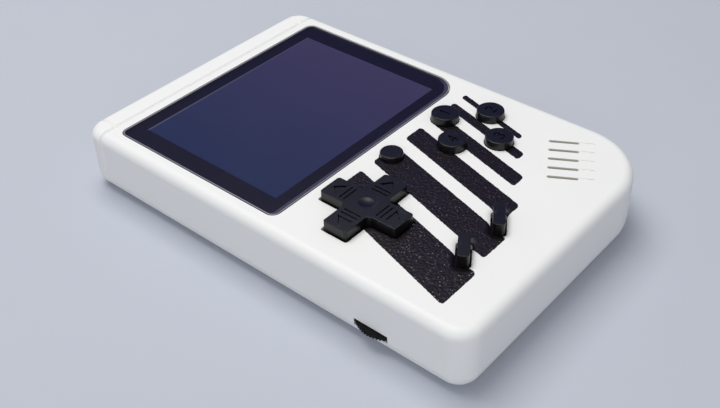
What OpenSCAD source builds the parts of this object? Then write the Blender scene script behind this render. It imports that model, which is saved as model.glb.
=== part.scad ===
// Handheld game console lying on its back.
// X runs to the player's right, Y towards the screen end, Z out of the face.
// The origin is at the middle of the back, on the surface it rests on.

/* [Body] */
// Width of the case
body_w = 80; // [72:0.5:88]
// Length of the case
body_l = 119.5; // [107.5:0.5:132]
// Thickness of the case from back to face
body_t = 17; // [16.6:0.1:19]
// Radius of the three small corners, seen from the front
corner_r = 5.5; // [5:0.1:7]
// Radius of the large corner beside the speaker
speaker_corner_r = 18; // [16:0.5:25]
// Rounding of the face edge
face_fillet = 2.5; // [1.5:0.1:3]
// Rounding of the back edge
back_fillet = 4.5; // [3.5:0.1:4.6]
// Thickness of the side walls
wall = 2; // [1.6:0.1:2.2]
// Thickness of the face
face_t = 2; // [1.8:0.1:2.2]
// Thickness of the back plate
back_t = 2; // [1.8:0.1:2.2]
// Height of the joint between the two shells
seam_z = 4.6; // [4.6:0.1:5]
// Height of the locating lip above the joint
lip_h = 1.2; // [0.8:0.1:1.3]
// Thickness of the locating lip
lip_t = 1; // [0.8:0.1:1.2]

/* [Top strip] */
// Distance from the top edge to the groove across the face
strip_l = 6.8; // [6:0.1:7.4]
// Distance from each side to the short grooves of the strip
strip_side = 5.5; // [4.5:0.1:7]
// Width of the grooves
groove_w = 1; // [0.6:0.1:1.2]
// Depth of the grooves
groove_d = 0.55; // [0.3:0.05:0.8]
// Height at which the grooves end on the walls
groove_foot = 6.8; // [6:0.1:9]

/* [Screen] */
// Distance from each side to the lens
lens_side = 4.5; // [4:0.1:8]
// Length of the part of the face below the lens
controls_l = 56.35; // [55.8:0.05:60]
// Thickness of the lens
lens_t = 1; // [0.8:0.05:1.1]
// Distance from the top edge to the lens
lens_margin = 9.75; // [9.5:0.05:11]
// Radius of the three small lens corners
lens_corner_r = 2; // [1:0.1:4]
// Radius of the lens corner nearest the face buttons
lens_big_corner_r = 7; // [4:0.5:9]
// How far the lens lies below the face
lens_sink = 0.1; // [0.05:0.05:0.3]
// Thickness of the printed border under the lens
border_t = 0.2; // [0.1:0.05:0.3]
// Width of the border at the sides of the clear window
window_side = 5.5; // [4.5:0.1:8]
// Width of the border at the ends of the clear window
window_end = 4.2; // [4.1:0.1:7]
// Width of the ledge that carries the lens
ledge_w = 4; // [3:0.1:4.1]
// How much narrower the display panel is than the lens, on each side
panel_side = 2.5; // [2.3:0.1:4]
// How much shorter the display panel is than the lens, at each end
panel_end = 1.7; // [1.5:0.1:3]
// Thickness of the display panel
panel_t = 1.4; // [1:0.1:1.6]
// Thickness of the backlight plate
backlight_t = 1.6; // [1.2:0.1:1.8]
// Wall of the display frame
frame_wall = 1; // [0.6:0.1:1.1]
// Floor of the display frame
frame_floor = 0.5; // [0.3:0.1:0.6]
// Thickness of the ribs that locate the display
rib_t = 1; // [0.6:0.1:1.1]
// Depth of the ribs below the face
rib_h = 3; // [2:0.1:3.4]
// Width of the flat cable of the display
flex_w = 10; // [7:0.5:11]
// Thickness of the flat cable
flex_t = 0.3; // [0.2:0.05:0.4]
// Distance from the right side to the middle of the flat cable
flex_side = 11; // [10.5:0.1:11.5]

/* [Direction pad] */
// Distance from the left side to the pad's centre
pad_side = 19.25; // [18.5:0.25:20]
// Distance from the lens to the row of the pad and the face buttons
controls_drop = 14.8; // [14.6:0.1:16]
// Span of the cross
pad_span = 22; // [20:0.1:22.4]
// Width of the arms
pad_arm = 6.8; // [6:0.1:7.2]
// Height of the cross above the face
pad_h = 2.4; // [1.6:0.1:3.2]
// Radius of the outer corners of the arms
pad_corner = 1; // [0.5:0.1:1.5]
// Radius between the arms
pad_inner_r = 1.2; // [0.6:0.1:1.6]
// Width of the flange round the cross
pad_flange = 1.2; // [0.8:0.1:1.3]
// Thickness of the flange
pad_flange_t = 0.9; // [0.7:0.1:1]
// Rocking angle each way
pad_tilt = 4; // [2:0.5:4]
// Radius of the pivot ball
pivot_r = 1.9; // [1.5:0.1:2]
// Depth of the engraved marks
mark_d = 0.25; // [0.15:0.05:0.4]
// Width of the engraved marks
mark_w = 0.4; // [0.3:0.05:0.5]
// Radius of the dished centre
dimple_r = 1.9; // [1.4:0.1:2.2]
// Depth of the dished centre
dimple_d = 0.35; // [0.2:0.05:0.5]

/* [Buttons] */
// Distance from the right side to the centre of the face buttons
buttons_side = 20; // [19.5:0.25:20.5]
// Distance of each face button from their centre
buttons_pitch = 8.2; // [7.8:0.1:8.5]
// Radius of the face buttons at the face
button_r = 3.6; // [3:0.1:3.8]
// Height of the face buttons above the face
button_h = 2; // [1.4:0.1:2.6]
// Radius of the reset button
reset_r = 2.95; // [2.4:0.05:3.2]
// Height of the reset button above the face
reset_h = 1.4; // [1.2:0.1:2]
// Distance from the lens to the reset button
reset_drop = 6.15; // [6.1:0.05:7]
// Distance of the reset button from the middle of the case
reset_x = -0.9; // [-1.5:0.1:0.5]
// How far the sides of the round buttons lean in
button_draft = 0.2; // [0.1:0.05:0.3]
// Rounding of the button tops
button_edge = 0.3; // [0.1:0.05:0.4]
// Travel of every button
button_travel = 1; // [0.6:0.1:1.1]
// Width of the flange that keeps a button in
button_flange = 1.1; // [0.8:0.1:1.2]
// Thickness of the button flanges
button_flange_t = 1; // [0.8:0.1:1.1]
// Length of the plunger under a button
plunger_l = 0.6; // [0.4:0.1:0.7]
// Radius of the plunger under a button
plunger_r = 2; // [1.5:0.1:2.2]

/* [Bar buttons] */
// Length of the bars
bar_l = 8; // [7:0.1:8.6]
// Width of the bars
bar_w = 2.8; // [2.4:0.1:3.4]
// Height of the bars above the face
bar_h = 2.8; // [2:0.1:3.4]
// Angle of the bars
bar_angle = 33; // [25:1:40]
// Radius of the corners of the bars, seen from the front
bar_corner = 0.9; // [0.4:0.1:1.1]
// Chamfer of the bar tops
bar_edge = 0.25; // [0.2:0.05:0.6]
// Distance from the left side to the select bar
select_side = 21; // [20.5:0.1:21.5]
// Distance between the two bars
bar_pitch = 13.3; // [13:0.1:14]
// Distance from the row of the pad down to the bars
bars_drop = 25.55; // [25.2:0.05:26]
// Width of the shallow dish round a bar
dish_w = 6.4; // [5.6:0.1:7]
// Length of the shallow dish round a bar
dish_l = 12.6; // [12:0.1:13]
// Depth of the shallow dish
dish_d = 0.4; // [0.2:0.05:0.6]

/* [Key mats] */
// Thickness of the mat sheets
mat_t = 0.6; // [0.4:0.05:0.65]
// Width of the mat sheets round the domes
mat_rim = 1.9; // [1.2:0.1:2.4]
// Radius of the domes
dome_r = 2.4; // [1.8:0.1:2.6]

/* [Speaker] */
// Distance from the right side to the speaker
speaker_side = 16.4; // [16.2:0.1:17]
// Distance from the bottom edge to the speaker
speaker_up = 17.35; // [17.2:0.05:18]
// Radius of the speaker
speaker_r = 10; // [9:0.1:10.1]
// Number of slots
slot_count = 5; // [3:1:5]
// Distance between the slots
slot_pitch = 3.64; // [3:0.02:3.8]
// Width of the slots
slot_w = 0.9; // [0.7:0.05:1.3]
// Length of the open part of a slot
slot_open_l = 7.3; // [6:0.1:8]
// Length of a slot with its shallow tail
slot_l = 11; // [9:0.1:12]
// Depth of the shallow tail
slot_tail_d = 0.25; // [0.2:0.05:0.5]
// Angle of the slots
slot_angle = -60; // [-66:1:-55]
// Thickness of the foam gasket
gasket_t = 0.4; // [0.3:0.05:0.5]
// Width of the foam gasket
gasket_w = 1.4; // [1:0.1:1.6]
// Depth of the speaker frame
speaker_h = 2.4; // [2.1:0.1:2.5]
// Depth of the magnet behind the frame
magnet_h = 1; // [0.6:0.1:1.1]
// Radius of the magnet
magnet_r = 5.5; // [5:0.1:6]

/* [Volume wheel] */
// Radius of the wheel
wheel_r = 7.5; // [7:0.1:7.8]
// Thickness of the wheel
wheel_t = 1.3; // [1:0.1:1.6]
// Height of the underside of the wheel
wheel_z = 4.2; // [3.9:0.05:4.4]
// How far the wheel stands out of the case
wheel_out = 1.2; // [0.8:0.1:1.6]
// Distance from the row of the pad down to the wheel
wheel_drop = 17; // [16:0.25:18]
// Number of ridges on the rim
wheel_ridges = 60; // [40:2:72]
// Depth of the ridges
ridge_d = 0.3; // [0.2:0.05:0.4]
// Radius of the wheel's axle
axle_r = 2; // [1.6:0.1:2.4]
// Running clearance of the wheel on its axle
axle_gap = 0.05; // [0.02:0.01:0.09]

/* [Power switch] */
// Distance of the switch from the middle of the lens
switch_drop = 3.3; // [2:0.1:6]
// Travel of the slider
switch_travel = 3.5; // [2:0.1:4]
// Length of the knob
knob_l = 3.6; // [3:0.1:4]
// Thickness of the knob
knob_t = 1.8; // [1.6:0.1:2]
// How far the knob stands out of the case
knob_out = 1.2; // [0.8:0.1:1.6]
// Depth of the recess round the knob
recess_d = 0.6; // [0.3:0.05:0.8]

/* [Ports] */
// Distance of the charging port from the middle of the case
usb_x = -14; // [-14:0.5:-10]
// Width of the charging port
usb_w = 7.6; // [7.4:0.1:7.8]
// Height of the charging port
usb_h = 2.7; // [2.6:0.1:2.8]
// Depth of the charging port
usb_l = 5.2; // [4.6:0.1:6]
// Distance of the jack from the middle of the case
jack_x = 14; // [10:0.5:14]
// Radius of the jack's bore
jack_bore_r = 1.8; // [1.76:0.01:1.85]
// Depth of the jack's bore
jack_bore_l = 12.5; // [11:0.1:14]
// Radius of the jack's nose
jack_nose_r = 3; // [2.6:0.1:3.1]
// Height of the jack's body
jack_h = 5.2; // [4.8:0.1:5.4]

/* [Board] */
// Thickness of the main board
board_t = 1.6; // [1.2:0.1:1.7]
// Distance from the underside of the face to the board
board_drop = 4.6; // [4.6:0.05:4.8]
// Radius of the posts that carry the board
post_r = 2.2; // [1.8:0.1:2.4]
// Size of the main chip
chip_w = 14; // [10:0.5:16]
// Height of the chips
chip_h = 1.2; // [0.8:0.1:1.6]
// Radius of the capacitors
cap_r = 2; // [1.5:0.1:2.5]
// Height of the capacitors
cap_h = 4.5; // [3:0.1:5]

/* [Battery] */
// Width of the battery
battery_w = 34; // [32:0.1:34.5]
// Length of the battery
battery_l = 53; // [50:0.1:53.5]
// Thickness of the battery
battery_t = 5.5; // [5:0.1:5.6]
// Wall of the battery bay
bay_wall = 1.2; // [0.8:0.1:1.4]
// Thickness of the bay's ceiling
bay_ceiling = 0.8; // [0.6:0.05:0.85]
// Distance from the bottom edge to the battery door
door_up = 11.5; // [11.3:0.1:12.5]
// Width of the battery door
door_w = 38; // [37.6:0.1:40]
// Length of the battery door
door_l = 57.4; // [57:0.1:58.5]
// Thickness of the battery door
door_t = 1.55; // [1.3:0.05:1.6]
// How far the door lies below the back
door_sink = 0.15; // [0.1:0.05:0.3]
// Opening angle of the door
door_open = 75; // [30:5:75]

/* [Screws] */
// Radius of the screw bosses
boss_r = 2.5; // [2.2:0.1:2.6]
// Radius of the screw shanks
shank_r = 0.9; // [0.7:0.05:1]
// Radius of the screw heads
head_r = 1.8; // [1.5:0.1:1.9]
// Height of the screw heads
head_h = 1.2; // [0.9:0.05:1.3]
// Length of the shell screws under the head
shell_screw_l = 8; // [6:0.5:10]
// Length of the board screws under the head
board_screw_l = 4.5; // [3:0.5:5]

/* [Clearances] */
// Clearance of moving pieces, and of pieces set into the case
gap = 0.3; // [0.2:0.02:0.35]
// Clearance of pieces that are held still
snug = 0.2; // [0.1:0.02:0.25]
// Clearance of a screw in its hole
screw_gap = 0.05; // [0.02:0.01:0.1]

/* [Hidden] */
$fn = 64;
over = 1;
sliver = 0.01;
arc_steps = 6;
inner_corner = 0.5;
outer_corner = 1;
least_corner = 0.4;

// Levels from the face down
half_w = body_w / 2;
half_l = body_l / 2;
inner_z = body_t - face_t;
board_top = inner_z - board_drop;
board_z = board_top - board_t;
mat_top = board_top + mat_t;

// Joint between the shells
lip_gap = 0.15;
lip_out = wall + lip_gap;
lip_in = lip_out + lip_t;
lip_root = 0.5;
rear_step = 0.6;
rear_wall = wall + rear_step;

// Screen
lens_w = body_w - 2 * lens_side;
lens_l = body_l - lens_margin - controls_l;
lens_bottom = controls_l - half_l;
lens_y = lens_bottom + lens_l / 2;
window_w = lens_w - 2 * window_side;
window_l = lens_l - 2 * window_end;
panel_w = lens_w - 2 * panel_side;
panel_l = lens_l - 2 * panel_end;
flex_x = half_w - flex_side;
lens_z = body_t - lens_sink - lens_t;
pocket_z = lens_z - border_t;
display_top = inner_z - snug;
frame_w = panel_w + 2 * (snug + frame_wall);
frame_l = panel_l + 2 * (snug + frame_wall);
display_floor = display_top - panel_t - backlight_t;
display_z = display_floor - frame_floor;
rib_w = frame_w + 2 * (gap + rib_t);
rib_l = frame_l + 2 * (gap + rib_t);
cable_y = lens_y - frame_l / 2;
cable_drop = 0.5;
cable_low = board_z - cable_drop;
cable_end = 5;
cable_up = 2;
cable_room = 0.5;

// Controls
pad_x = pad_side - half_w;
row_y = lens_bottom - controls_drop;
buttons_x = half_w - buttons_side;
reset_y = lens_bottom - reset_drop;
bars_y = row_y - bars_drop;
select_x = select_side - half_w;
start_x = select_x + bar_pitch;
pad_play = 0.5;
pad_reach = pad_span / 2 + pad_flange + pad_arm / 2 + pad_flange;
pad_head = pad_reach * sin(pad_tilt) + gap;
pad_flange_top = inner_z - pad_head;
pivot_z = pad_flange_top - pad_flange_t;
pad_top = body_t + pad_h;
mark_end = 1.6;
mark_side = 1.2;
arrow_l = 2.2;
mark_pitch = 1.2;
pad_dome_x = 7.8;
pad_dome_top = pivot_z - (pad_dome_x + 2 * dome_r) * sin(pad_tilt) - gap;
flange_top = inner_z - gap;
flange_z = flange_top - button_flange_t;
plunger_z = flange_z - plunger_l;
dome_top = plunger_z - button_travel - snug;

// Speaker
speaker_x = half_w - speaker_side;
speaker_y = speaker_up - half_l;
gasket_z = inner_z - gasket_t;
speaker_z = gasket_z - speaker_h;
magnet_z = speaker_z - magnet_h;
cup_r = speaker_r + gap;
speaker_skin = 0.5;

// Volume wheel
wheel_x = wheel_r - half_w - wheel_out;
wheel_y = row_y - wheel_drop;
wheel_top = wheel_z + wheel_t;
pot_w = 8.8;
pot_l = 11;
pot_room = 0.55;
pot_x = lip_in + pot_room - half_w;
rivet_r = 3;
rivet_t = 0.5;

// Power switch
switch_y = lens_y - switch_drop;
switch_w = 4.6;
switch_l = 8.6;
switch_h = 3.4;
switch_room = 0.65;
switch_face = half_w - lip_in - switch_room;
knob_y = switch_y - switch_travel / 2;
knob_z = board_z - switch_h / 2;
recess_end = 1.5;
recess_rim = 1;

// Ports
usb_z = board_z - usb_h;
port_gap = 0.25;
port_front = half_l - wall - port_gap;
jack_z = board_z - jack_h / 2;
jack_w = 6;
jack_end = half_l - snug;
usb_skin = 0.3;
tongue_sink = 1;
jack_wall = 1;
jack_back = jack_end - jack_bore_l - jack_wall;

// Board
board_room = 0.45;
board_inset = lip_in + board_room;
boss_room = 0.4;
chip_down = 27;
chip_side = 22;
chip_x = chip_side - half_w;
chip_y = half_l - chip_down;
crystal_up = 4;
crystal_w = 8;
crystal_l = 3.5;
crystal_h = 2;
memory_w = 8;
memory_l = 6;
memory_room = 4;
memory_pitch = chip_w / 2 + memory_w / 2 + memory_room;
memory_x = chip_x + memory_pitch;
cap_side = 10.5;
cap_room = 1.5;
cap_pitch = 2 * cap_r + cap_room;
cap_down = 22.5;
cap_y = half_l - cap_down;
connector_l = 4;
connector_h = 1.2;
connector_rim = 1;

// Battery and its door
door_y = door_up - half_l;
door_top = door_sink + door_t;
door_end = door_y + door_l;
battery_up = 2.7;
battery_y = door_y + battery_up;
battery_z = door_top + gap;
bay_w = battery_w + 2 * gap;
bay_y = battery_y - gap;
bay_l = battery_l + 2 * gap;
bay_top = battery_z + battery_t + snug;
bay_lid = bay_top + bay_ceiling;
tab_w = 6;
tab_x = 11;
tab_t = 0.75;
tab_reach = 1.3;
tab_root = 0.7;
tab_gap = 0.25;
tab_top = back_t + tab_gap + tab_t;
latch_w = 8;
latch_down = 1.2;
latch_y = door_end - latch_down;
latch_t = 0.8;
seat_t = 1;
seat_over = 2.2;
contact_x = [-6, 0, 6];
contact_w = 1.6;
contact_t = 0.6;
contact_z = battery_z + battery_t / 2;

// Screws
boss_side = 5.8;
low_boss_side = 28;
right_boss_up = 14.4;
boss_places = [
    [boss_side - half_w, half_l - boss_side],
    [half_w - boss_side, half_l - boss_side],
    [boss_side - half_w, boss_side - half_l],
    [half_w - low_boss_side, boss_side - half_l],
    [half_w - boss_side, speaker_y + right_boss_up]
];
post_x = 20;
post_end = 5.4;
post_side = 6;
post_drop = 4.5;
low_post_x = 24;
low_post_up = 6.75;
post_places = [
    [-post_x, half_l - post_end],
    [post_x, half_l - post_end],
    [-low_post_x, low_post_up - half_l],
    [post_side - half_w, lens_bottom - post_drop],
    [half_w - post_side, lens_bottom - post_drop]
];
well_r = 3.4;
well_rise = 0.4;
well_top = seam_z + well_rise;
head_sink = 1.2;
well_floor = head_sink + head_h + gap;
boss_gap = 0.05;
boss_z = well_top + boss_gap;
pilot_r = shank_r + screw_gap;

function arc(x, y, r, from, to) =
    [for (i = [0 : arc_steps]) let (a = from + (to - from) * i / arc_steps) [x + r * cos(a), y + r * sin(a)]];

// Rectangle of w by l about the origin; radii run from the lower left corner anticlockwise
function rounded(w, l, radii) = concat(
    arc(radii[0] - w / 2, radii[0] - l / 2, radii[0], 180, 270),
    arc(w / 2 - radii[1], radii[1] - l / 2, radii[1], 270, 360),
    arc(w / 2 - radii[2], l / 2 - radii[2], radii[2], 0, 90),
    arc(radii[3] - w / 2, l / 2 - radii[3], radii[3], 90, 180)
);

// The same radius at all four corners
function even(r) = [r, r, r, r];

function case_radii(inset) =
    [for (r = [corner_r, speaker_corner_r, corner_r, corner_r]) max(r - inset, least_corner)];

function lens_radii(out) = [for (r = [lens_corner_r, lens_big_corner_r, lens_corner_r, lens_corner_r]) r + out];

function turn(p, a) = [p[0] * cos(a) - p[1] * sin(a), p[0] * sin(a) + p[1] * cos(a)];

// Cross with rounded tips and rounded inner corners
function cross(span, arm, tip_r, inner_r) = [
    for (k = [0 : 3])
        for (p = concat(
            arc(span / 2 - tip_r, tip_r - arm / 2, tip_r, -90, 0),
            arc(span / 2 - tip_r, arm / 2 - tip_r, tip_r, 0, 90),
            arc(arm / 2 + inner_r, arm / 2 + inner_r, inner_r, 270, 180)
        )) turn(p, 90 * k)
];

module at(x, y, z = 0) {
    translate([x, y, z]) children();
}

// Box from its lowest corner to its highest corner
module block(low, high) {
    translate(low) cube(high - low);
}

module plate(points, z0, z1) {
    translate([0, 0, z0]) linear_extrude(z1 - z0) polygon(points);
}

module rod(x, y, r, z0, z1) {
    translate([x, y, z0]) cylinder(r = r, h = z1 - z0);
}

// The case as a filled slab of height h whose upper edge is rounded by f, flat below.
// Each corner is a turned sector with half of both neighbouring edges; the halves overlap in the middle.
module slab(h, f) {
    inset = (corner_r + f) / 2;
    function section(depth, r) =
        [for (p = concat([[-depth, 0], [0, 0]], arc(-f, h - f, f, 0, 90), [[-depth, h]])) [r + p[0], p[1]]];
    low = body_w - corner_r - speaker_corner_r;
    right = body_l - corner_r - speaker_corner_r;
    top = body_w - 2 * corner_r;
    left = body_l - 2 * corner_r;
    corners = [
        [[corner_r - half_w, corner_r - half_l], 180, corner_r, left, low],
        [[half_w - speaker_corner_r, speaker_corner_r - half_l], 270, speaker_corner_r, low, right],
        [[half_w - corner_r, half_l - corner_r], 0, corner_r, right, top],
        [[corner_r - half_w, half_l - corner_r], 90, corner_r, top, left]
    ];
    for (c = corners) translate(c[0]) rotate(c[1]) {
        before = c[3] / 2 + over;
        after = c[4] / 2 + over;
        rotate_extrude(angle = 90) polygon(section(c[2], c[2]));
        rotate([90, 0, 0]) linear_extrude(before) polygon(section(corner_r, c[2]));
        translate([-after, 0, 0]) rotate([90, 0, 90]) linear_extrude(after) polygon(section(corner_r, c[2]));
    }
    plate([
        [inset - half_w, inset - half_l],
        [half_w - speaker_corner_r, inset - half_l],
        [half_w - inset, speaker_corner_r - half_l],
        [half_w - inset, half_l - inset],
        [inset - half_w, half_l - inset]
    ], 0, h);
}

function case_outline(inset) = rounded(body_w - 2 * inset, body_l - 2 * inset, case_radii(inset));

// V groove that crosses the face to an edge at x = reach, rounds the edge and runs down the wall
module edge_groove(start, reach) {
    rise = 0.6;
    half = groove_w / 2 * (1 + rise / groove_d);
    vee = [[0, -groove_d], [half, rise], [-half, rise]];
    turn_x = reach - face_fillet;
    turn_z = body_t - face_fillet;
    translate([start, 0, body_t]) rotate([90, 0, 90]) linear_extrude(turn_x - start) polygon(vee);
    translate([turn_x, 0, turn_z]) rotate([90, 0, 0]) rotate_extrude(angle = 90)
        polygon([for (p = vee) [face_fillet + p[1], p[0]]]);
    translate([reach, 0, groove_foot]) rotate(90) linear_extrude(turn_z - groove_foot)
        polygon([for (p = vee) [p[0], -p[1]]]);
}

module strip_grooves() {
    for (side = [0, 1])
        translate([0, half_l - strip_l, 0]) mirror([side, 0, 0]) edge_groove(0, half_w);
    for (x = [strip_side - half_w, half_w - strip_side])
        translate([x, 0, 0]) rotate(90) edge_groove(half_l - strip_l, half_l);
}

module bar_outline(margin, z0, z1) {
    plate(rounded(bar_l + 2 * margin, bar_w + 2 * margin, even(bar_corner + margin)), z0, z1);
}

module at_slots() {
    along = [cos(slot_angle), sin(slot_angle)];
    across = [-along[1], along[0]];
    for (i = [0 : slot_count - 1])
        translate([speaker_x, speaker_y] + across * slot_pitch * (i - (slot_count - 1) / 2))
            rotate(slot_angle) children();
}

module button_places() {
    for (a = [90, 0, 270, 180])
        translate([buttons_x + buttons_pitch * cos(a), row_y + buttons_pitch * sin(a), 0]) children();
}

// Room for the thumbwheel, the jack's nose and the charging plug in the walls
module wall_openings() {
    rod(wheel_x, wheel_y, wheel_r + gap, wheel_z - gap, wheel_top + gap);
    translate([jack_x, half_l + over, jack_z]) rotate([90, 0, 0])
        cylinder(r = jack_nose_r + gap, h = wall + lip_t + 2 * over);
    block([jack_x - jack_w / 2 - gap, jack_back - gap, jack_z - jack_h / 2 - gap],
        [jack_x + jack_w / 2 + gap, port_front + snug, board_z]);
    block([usb_x - usb_w / 2 - gap, port_front - over, usb_z - gap],
        [usb_x + usb_w / 2 + gap, half_l + over, board_z + gap]);
}

module front_shell() {
    knob_low = knob_y - knob_l / 2 - gap;
    knob_high = knob_y + knob_l / 2 + switch_travel + gap;
    color("white") difference() {
        union() {
            difference() {
                translate([0, 0, seam_z]) slab(body_t - seam_z, face_fillet);
                plate(case_outline(wall), seam_z - over, inner_z);
            }
            at(0, lens_y) difference() {
                plate(rounded(rib_w, rib_l, even(outer_corner)), inner_z - rib_h, inner_z);
                plate(rounded(rib_w - 2 * rib_t, rib_l - 2 * rib_t, even(inner_corner)),
                    inner_z - rib_h - over, inner_z + over);
                translate([flex_x, -rib_l / 2, 0])
                    block([-flex_w / 2 - cable_room, -over, inner_z - rib_h - over],
                        [flex_w / 2 + cable_room, rib_t + over, inner_z + over]);
            }
            for (p = boss_places) rod(p[0], p[1], boss_r, boss_z, inner_z);
            for (p = post_places) rod(p[0], p[1], post_r, board_top, inner_z);
            difference() {
                rod(speaker_x, speaker_y, cup_r + rib_t, speaker_z, inner_z);
                rod(speaker_x, speaker_y, cup_r, speaker_z - over, inner_z + over);
            }
        }
        // Lens pocket and the window behind it
        at(0, lens_y) plate(rounded(lens_w + 2 * gap, lens_l + 2 * gap, lens_radii(gap)), pocket_z, body_t + over);
        at(0, lens_y) plate(rounded(lens_w - 2 * ledge_w, lens_l - 2 * ledge_w, even(outer_corner)),
            inner_z - over, pocket_z + over);
        // Holes of the controls
        at(pad_x, row_y) plate(cross(pad_span + 2 * pad_play, pad_arm + 2 * pad_play, pad_corner + pad_play,
            pad_inner_r - pad_play), inner_z - over, body_t + over);
        button_places() rod(0, 0, button_r + gap, inner_z - over, body_t + over);
        rod(reset_x, reset_y, reset_r + gap, inner_z - over, body_t + over);
        for (x = [select_x, start_x]) at(x, bars_y) rotate(bar_angle) {
            bar_outline(gap, inner_z - over, body_t + over);
            plate(rounded(dish_l, dish_w, even(dish_w / 2 - sliver)), body_t - dish_d, body_t + over);
        }
        // Speaker slots, open over the speaker, with a shallow tail
        at_slots() {
            block([-slot_open_l / 2, -slot_w / 2, inner_z - over], [slot_open_l / 2, slot_w / 2, body_t + over]);
            block([slot_open_l / 2 - over, -slot_w / 2, body_t - slot_tail_d],
                [slot_l - slot_open_l / 2, slot_w / 2, body_t + over]);
        }
        strip_grooves();
        wall_openings();
        // Slot and recess of the power knob
        block([half_w - wall - over, knob_low, knob_z - knob_t / 2 - gap],
            [half_w + over, knob_high, knob_z + knob_t / 2 + gap]);
        block([half_w - recess_d, knob_low - recess_end, knob_z - knob_t / 2 - recess_rim],
            [half_w + over, knob_high + recess_end, knob_z + knob_t / 2 + recess_rim]);
        for (p = boss_places) rod(p[0], p[1], pilot_r, boss_z - over, boss_z + shell_screw_l);
        for (p = post_places) rod(p[0], p[1], pilot_r, board_top - over, board_top + board_screw_l - board_t + gap);
    }
}

module door_opening() {
    block([-door_w / 2 - gap, door_y - gap, -over], [door_w / 2 + gap, door_end + gap, back_t]);
}

module rear_shell() {
    seat_w = door_w / 2 + gap + seat_over;
    bay_out = bay_w / 2 + bay_wall;
    color("white") difference() {
        union() {
            difference() {
                translate([0, 0, seam_z]) mirror([0, 0, 1]) slab(seam_z, back_fillet);
                plate(case_outline(rear_wall), back_t, seam_z + over);
                door_opening();
            }
            difference() {
                plate(case_outline(lip_out), seam_z - lip_root, seam_z + lip_h);
                plate(case_outline(lip_in), seam_z - over, seam_z + lip_h + over);
                for (p = boss_places) rod(p[0], p[1], boss_r + gap, seam_z + sliver, seam_z + lip_h + over);
            }
            for (p = boss_places) rod(p[0], p[1], well_r, back_t, well_top);
            // Seat of the door, bay walls and ceiling
            block([-seat_w, bay_y - bay_wall, back_t], [seat_w, door_end + gap + seat_over, back_t + seat_t]);
            block([-bay_out, bay_y - bay_wall, back_t], [bay_out, bay_y + bay_l + bay_wall, bay_lid]);
        }
        block([-bay_w / 2, bay_y, -over], [bay_w / 2, bay_y + bay_l, bay_top]);
        // Room for the hooks and the tongue of the door as it swings, and for the contacts
        for (x = [-tab_x, tab_x])
            block([x - tab_w / 2 - gap, bay_y - bay_wall - over, back_t - over],
                [x + tab_w / 2 + gap, bay_y + over, tab_top + gap]);
        block([-latch_w / 2 - gap, bay_y + bay_l - over, back_t - over],
            [latch_w / 2 + gap, door_end + gap, tab_top + gap]);
        for (x = contact_x)
            block([x - contact_w / 2 - gap, bay_y + bay_l - over, contact_z - contact_t / 2 - gap],
                [x + contact_w / 2 + gap, bay_y + bay_l + bay_wall + over, contact_z + contact_t / 2 + gap]);
        for (p = boss_places) {
            rod(p[0], p[1], head_r + gap, -over, well_floor);
            rod(p[0], p[1], shank_r + gap, well_floor - over, well_top + over);
        }
        wall_openings();
    }
}

module screen_lens() {
    color("gainsboro", 0.4) at(0, lens_y) plate(rounded(lens_w, lens_l, lens_radii(0)), lens_z, lens_z + lens_t);
}

module lens_border() {
    color("midnightblue") at(0, lens_y) difference() {
        plate(rounded(lens_w, lens_l, lens_radii(0)), pocket_z, lens_z);
        plate(rounded(window_w, window_l, even(inner_corner)), pocket_z - over, lens_z + over);
    }
}

module display_panel() {
    color("darkslateblue") at(0, lens_y)
        plate(rounded(panel_w, panel_l, even(inner_corner)), display_top - panel_t, display_top);
}

module backlight_plate() {
    color("ivory") at(0, lens_y)
        plate(rounded(panel_w, panel_l, even(inner_corner)), display_floor, display_floor + backlight_t);
}

module display_frame() {
    color("silver") at(0, lens_y) difference() {
        plate(rounded(frame_w, frame_l, even(outer_corner)), display_z, display_top);
        plate(rounded(panel_w + 2 * snug, panel_l + 2 * snug, even(inner_corner)),
            display_floor, display_top + over);
    }
}

module display_foam() {
    margin = 4;
    color("dimgray") at(0, lens_y)
        plate(rounded(panel_w - 2 * margin, panel_l - 2 * margin, even(outer_corner)), board_top, display_z);
}

// Flat cable from the lower edge of the display, through the board, to its connector
module display_cable() {
    color("orange") translate([flex_x - flex_w / 2, 0, 0]) rotate([90, 0, 90]) linear_extrude(flex_w) polygon([
        [cable_y, display_z + cable_up],
        [cable_y - flex_t, display_z + cable_up],
        [cable_y - flex_t, cable_low - flex_t],
        [cable_y + cable_end, cable_low - flex_t],
        [cable_y + cable_end, cable_low],
        [cable_y, cable_low]
    ]);
}

module cable_connector() {
    y = cable_y + cable_end;
    half = flex_w / 2 + connector_rim;
    color("ivory") block([flex_x - half, y, board_z - connector_h], [flex_x + half, y + connector_l, board_z]);
}

module main_board() {
    color("darkgreen") difference() {
        plate(case_outline(board_inset), board_z, board_top);
        for (p = boss_places) rod(p[0], p[1], boss_r + boss_room, board_z - over, board_top + over);
        for (p = post_places) rod(p[0], p[1], shank_r + gap, board_z - over, board_top + over);
        block([flex_x - flex_w / 2 - cable_room, cable_y - flex_t - cable_room, board_z - over],
            [flex_x + flex_w / 2 + cable_room, cable_y + cable_room, board_top + over]);
    }
}

module under_board(x, y, w, l, h) {
    block([x - w / 2, y - l / 2, board_z - h], [x + w / 2, y + l / 2, board_z]);
}

module main_chip() {
    color("black") under_board(chip_x, chip_y, chip_w, chip_w, chip_h);
}

module memory_chip() {
    color("black") under_board(memory_x, chip_y, memory_w, memory_l, chip_h);
}

module crystal() {
    color("silver") under_board(chip_x, chip_y + chip_w / 2 + crystal_up, crystal_w, crystal_l, crystal_h);
}

module capacitors() {
    color("navy") for (i = [0 : 2])
        rod(half_w - cap_side - cap_pitch * (i % 2), cap_y - cap_pitch * floor(i / 2), cap_r, board_z - cap_h, board_z);
}

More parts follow.
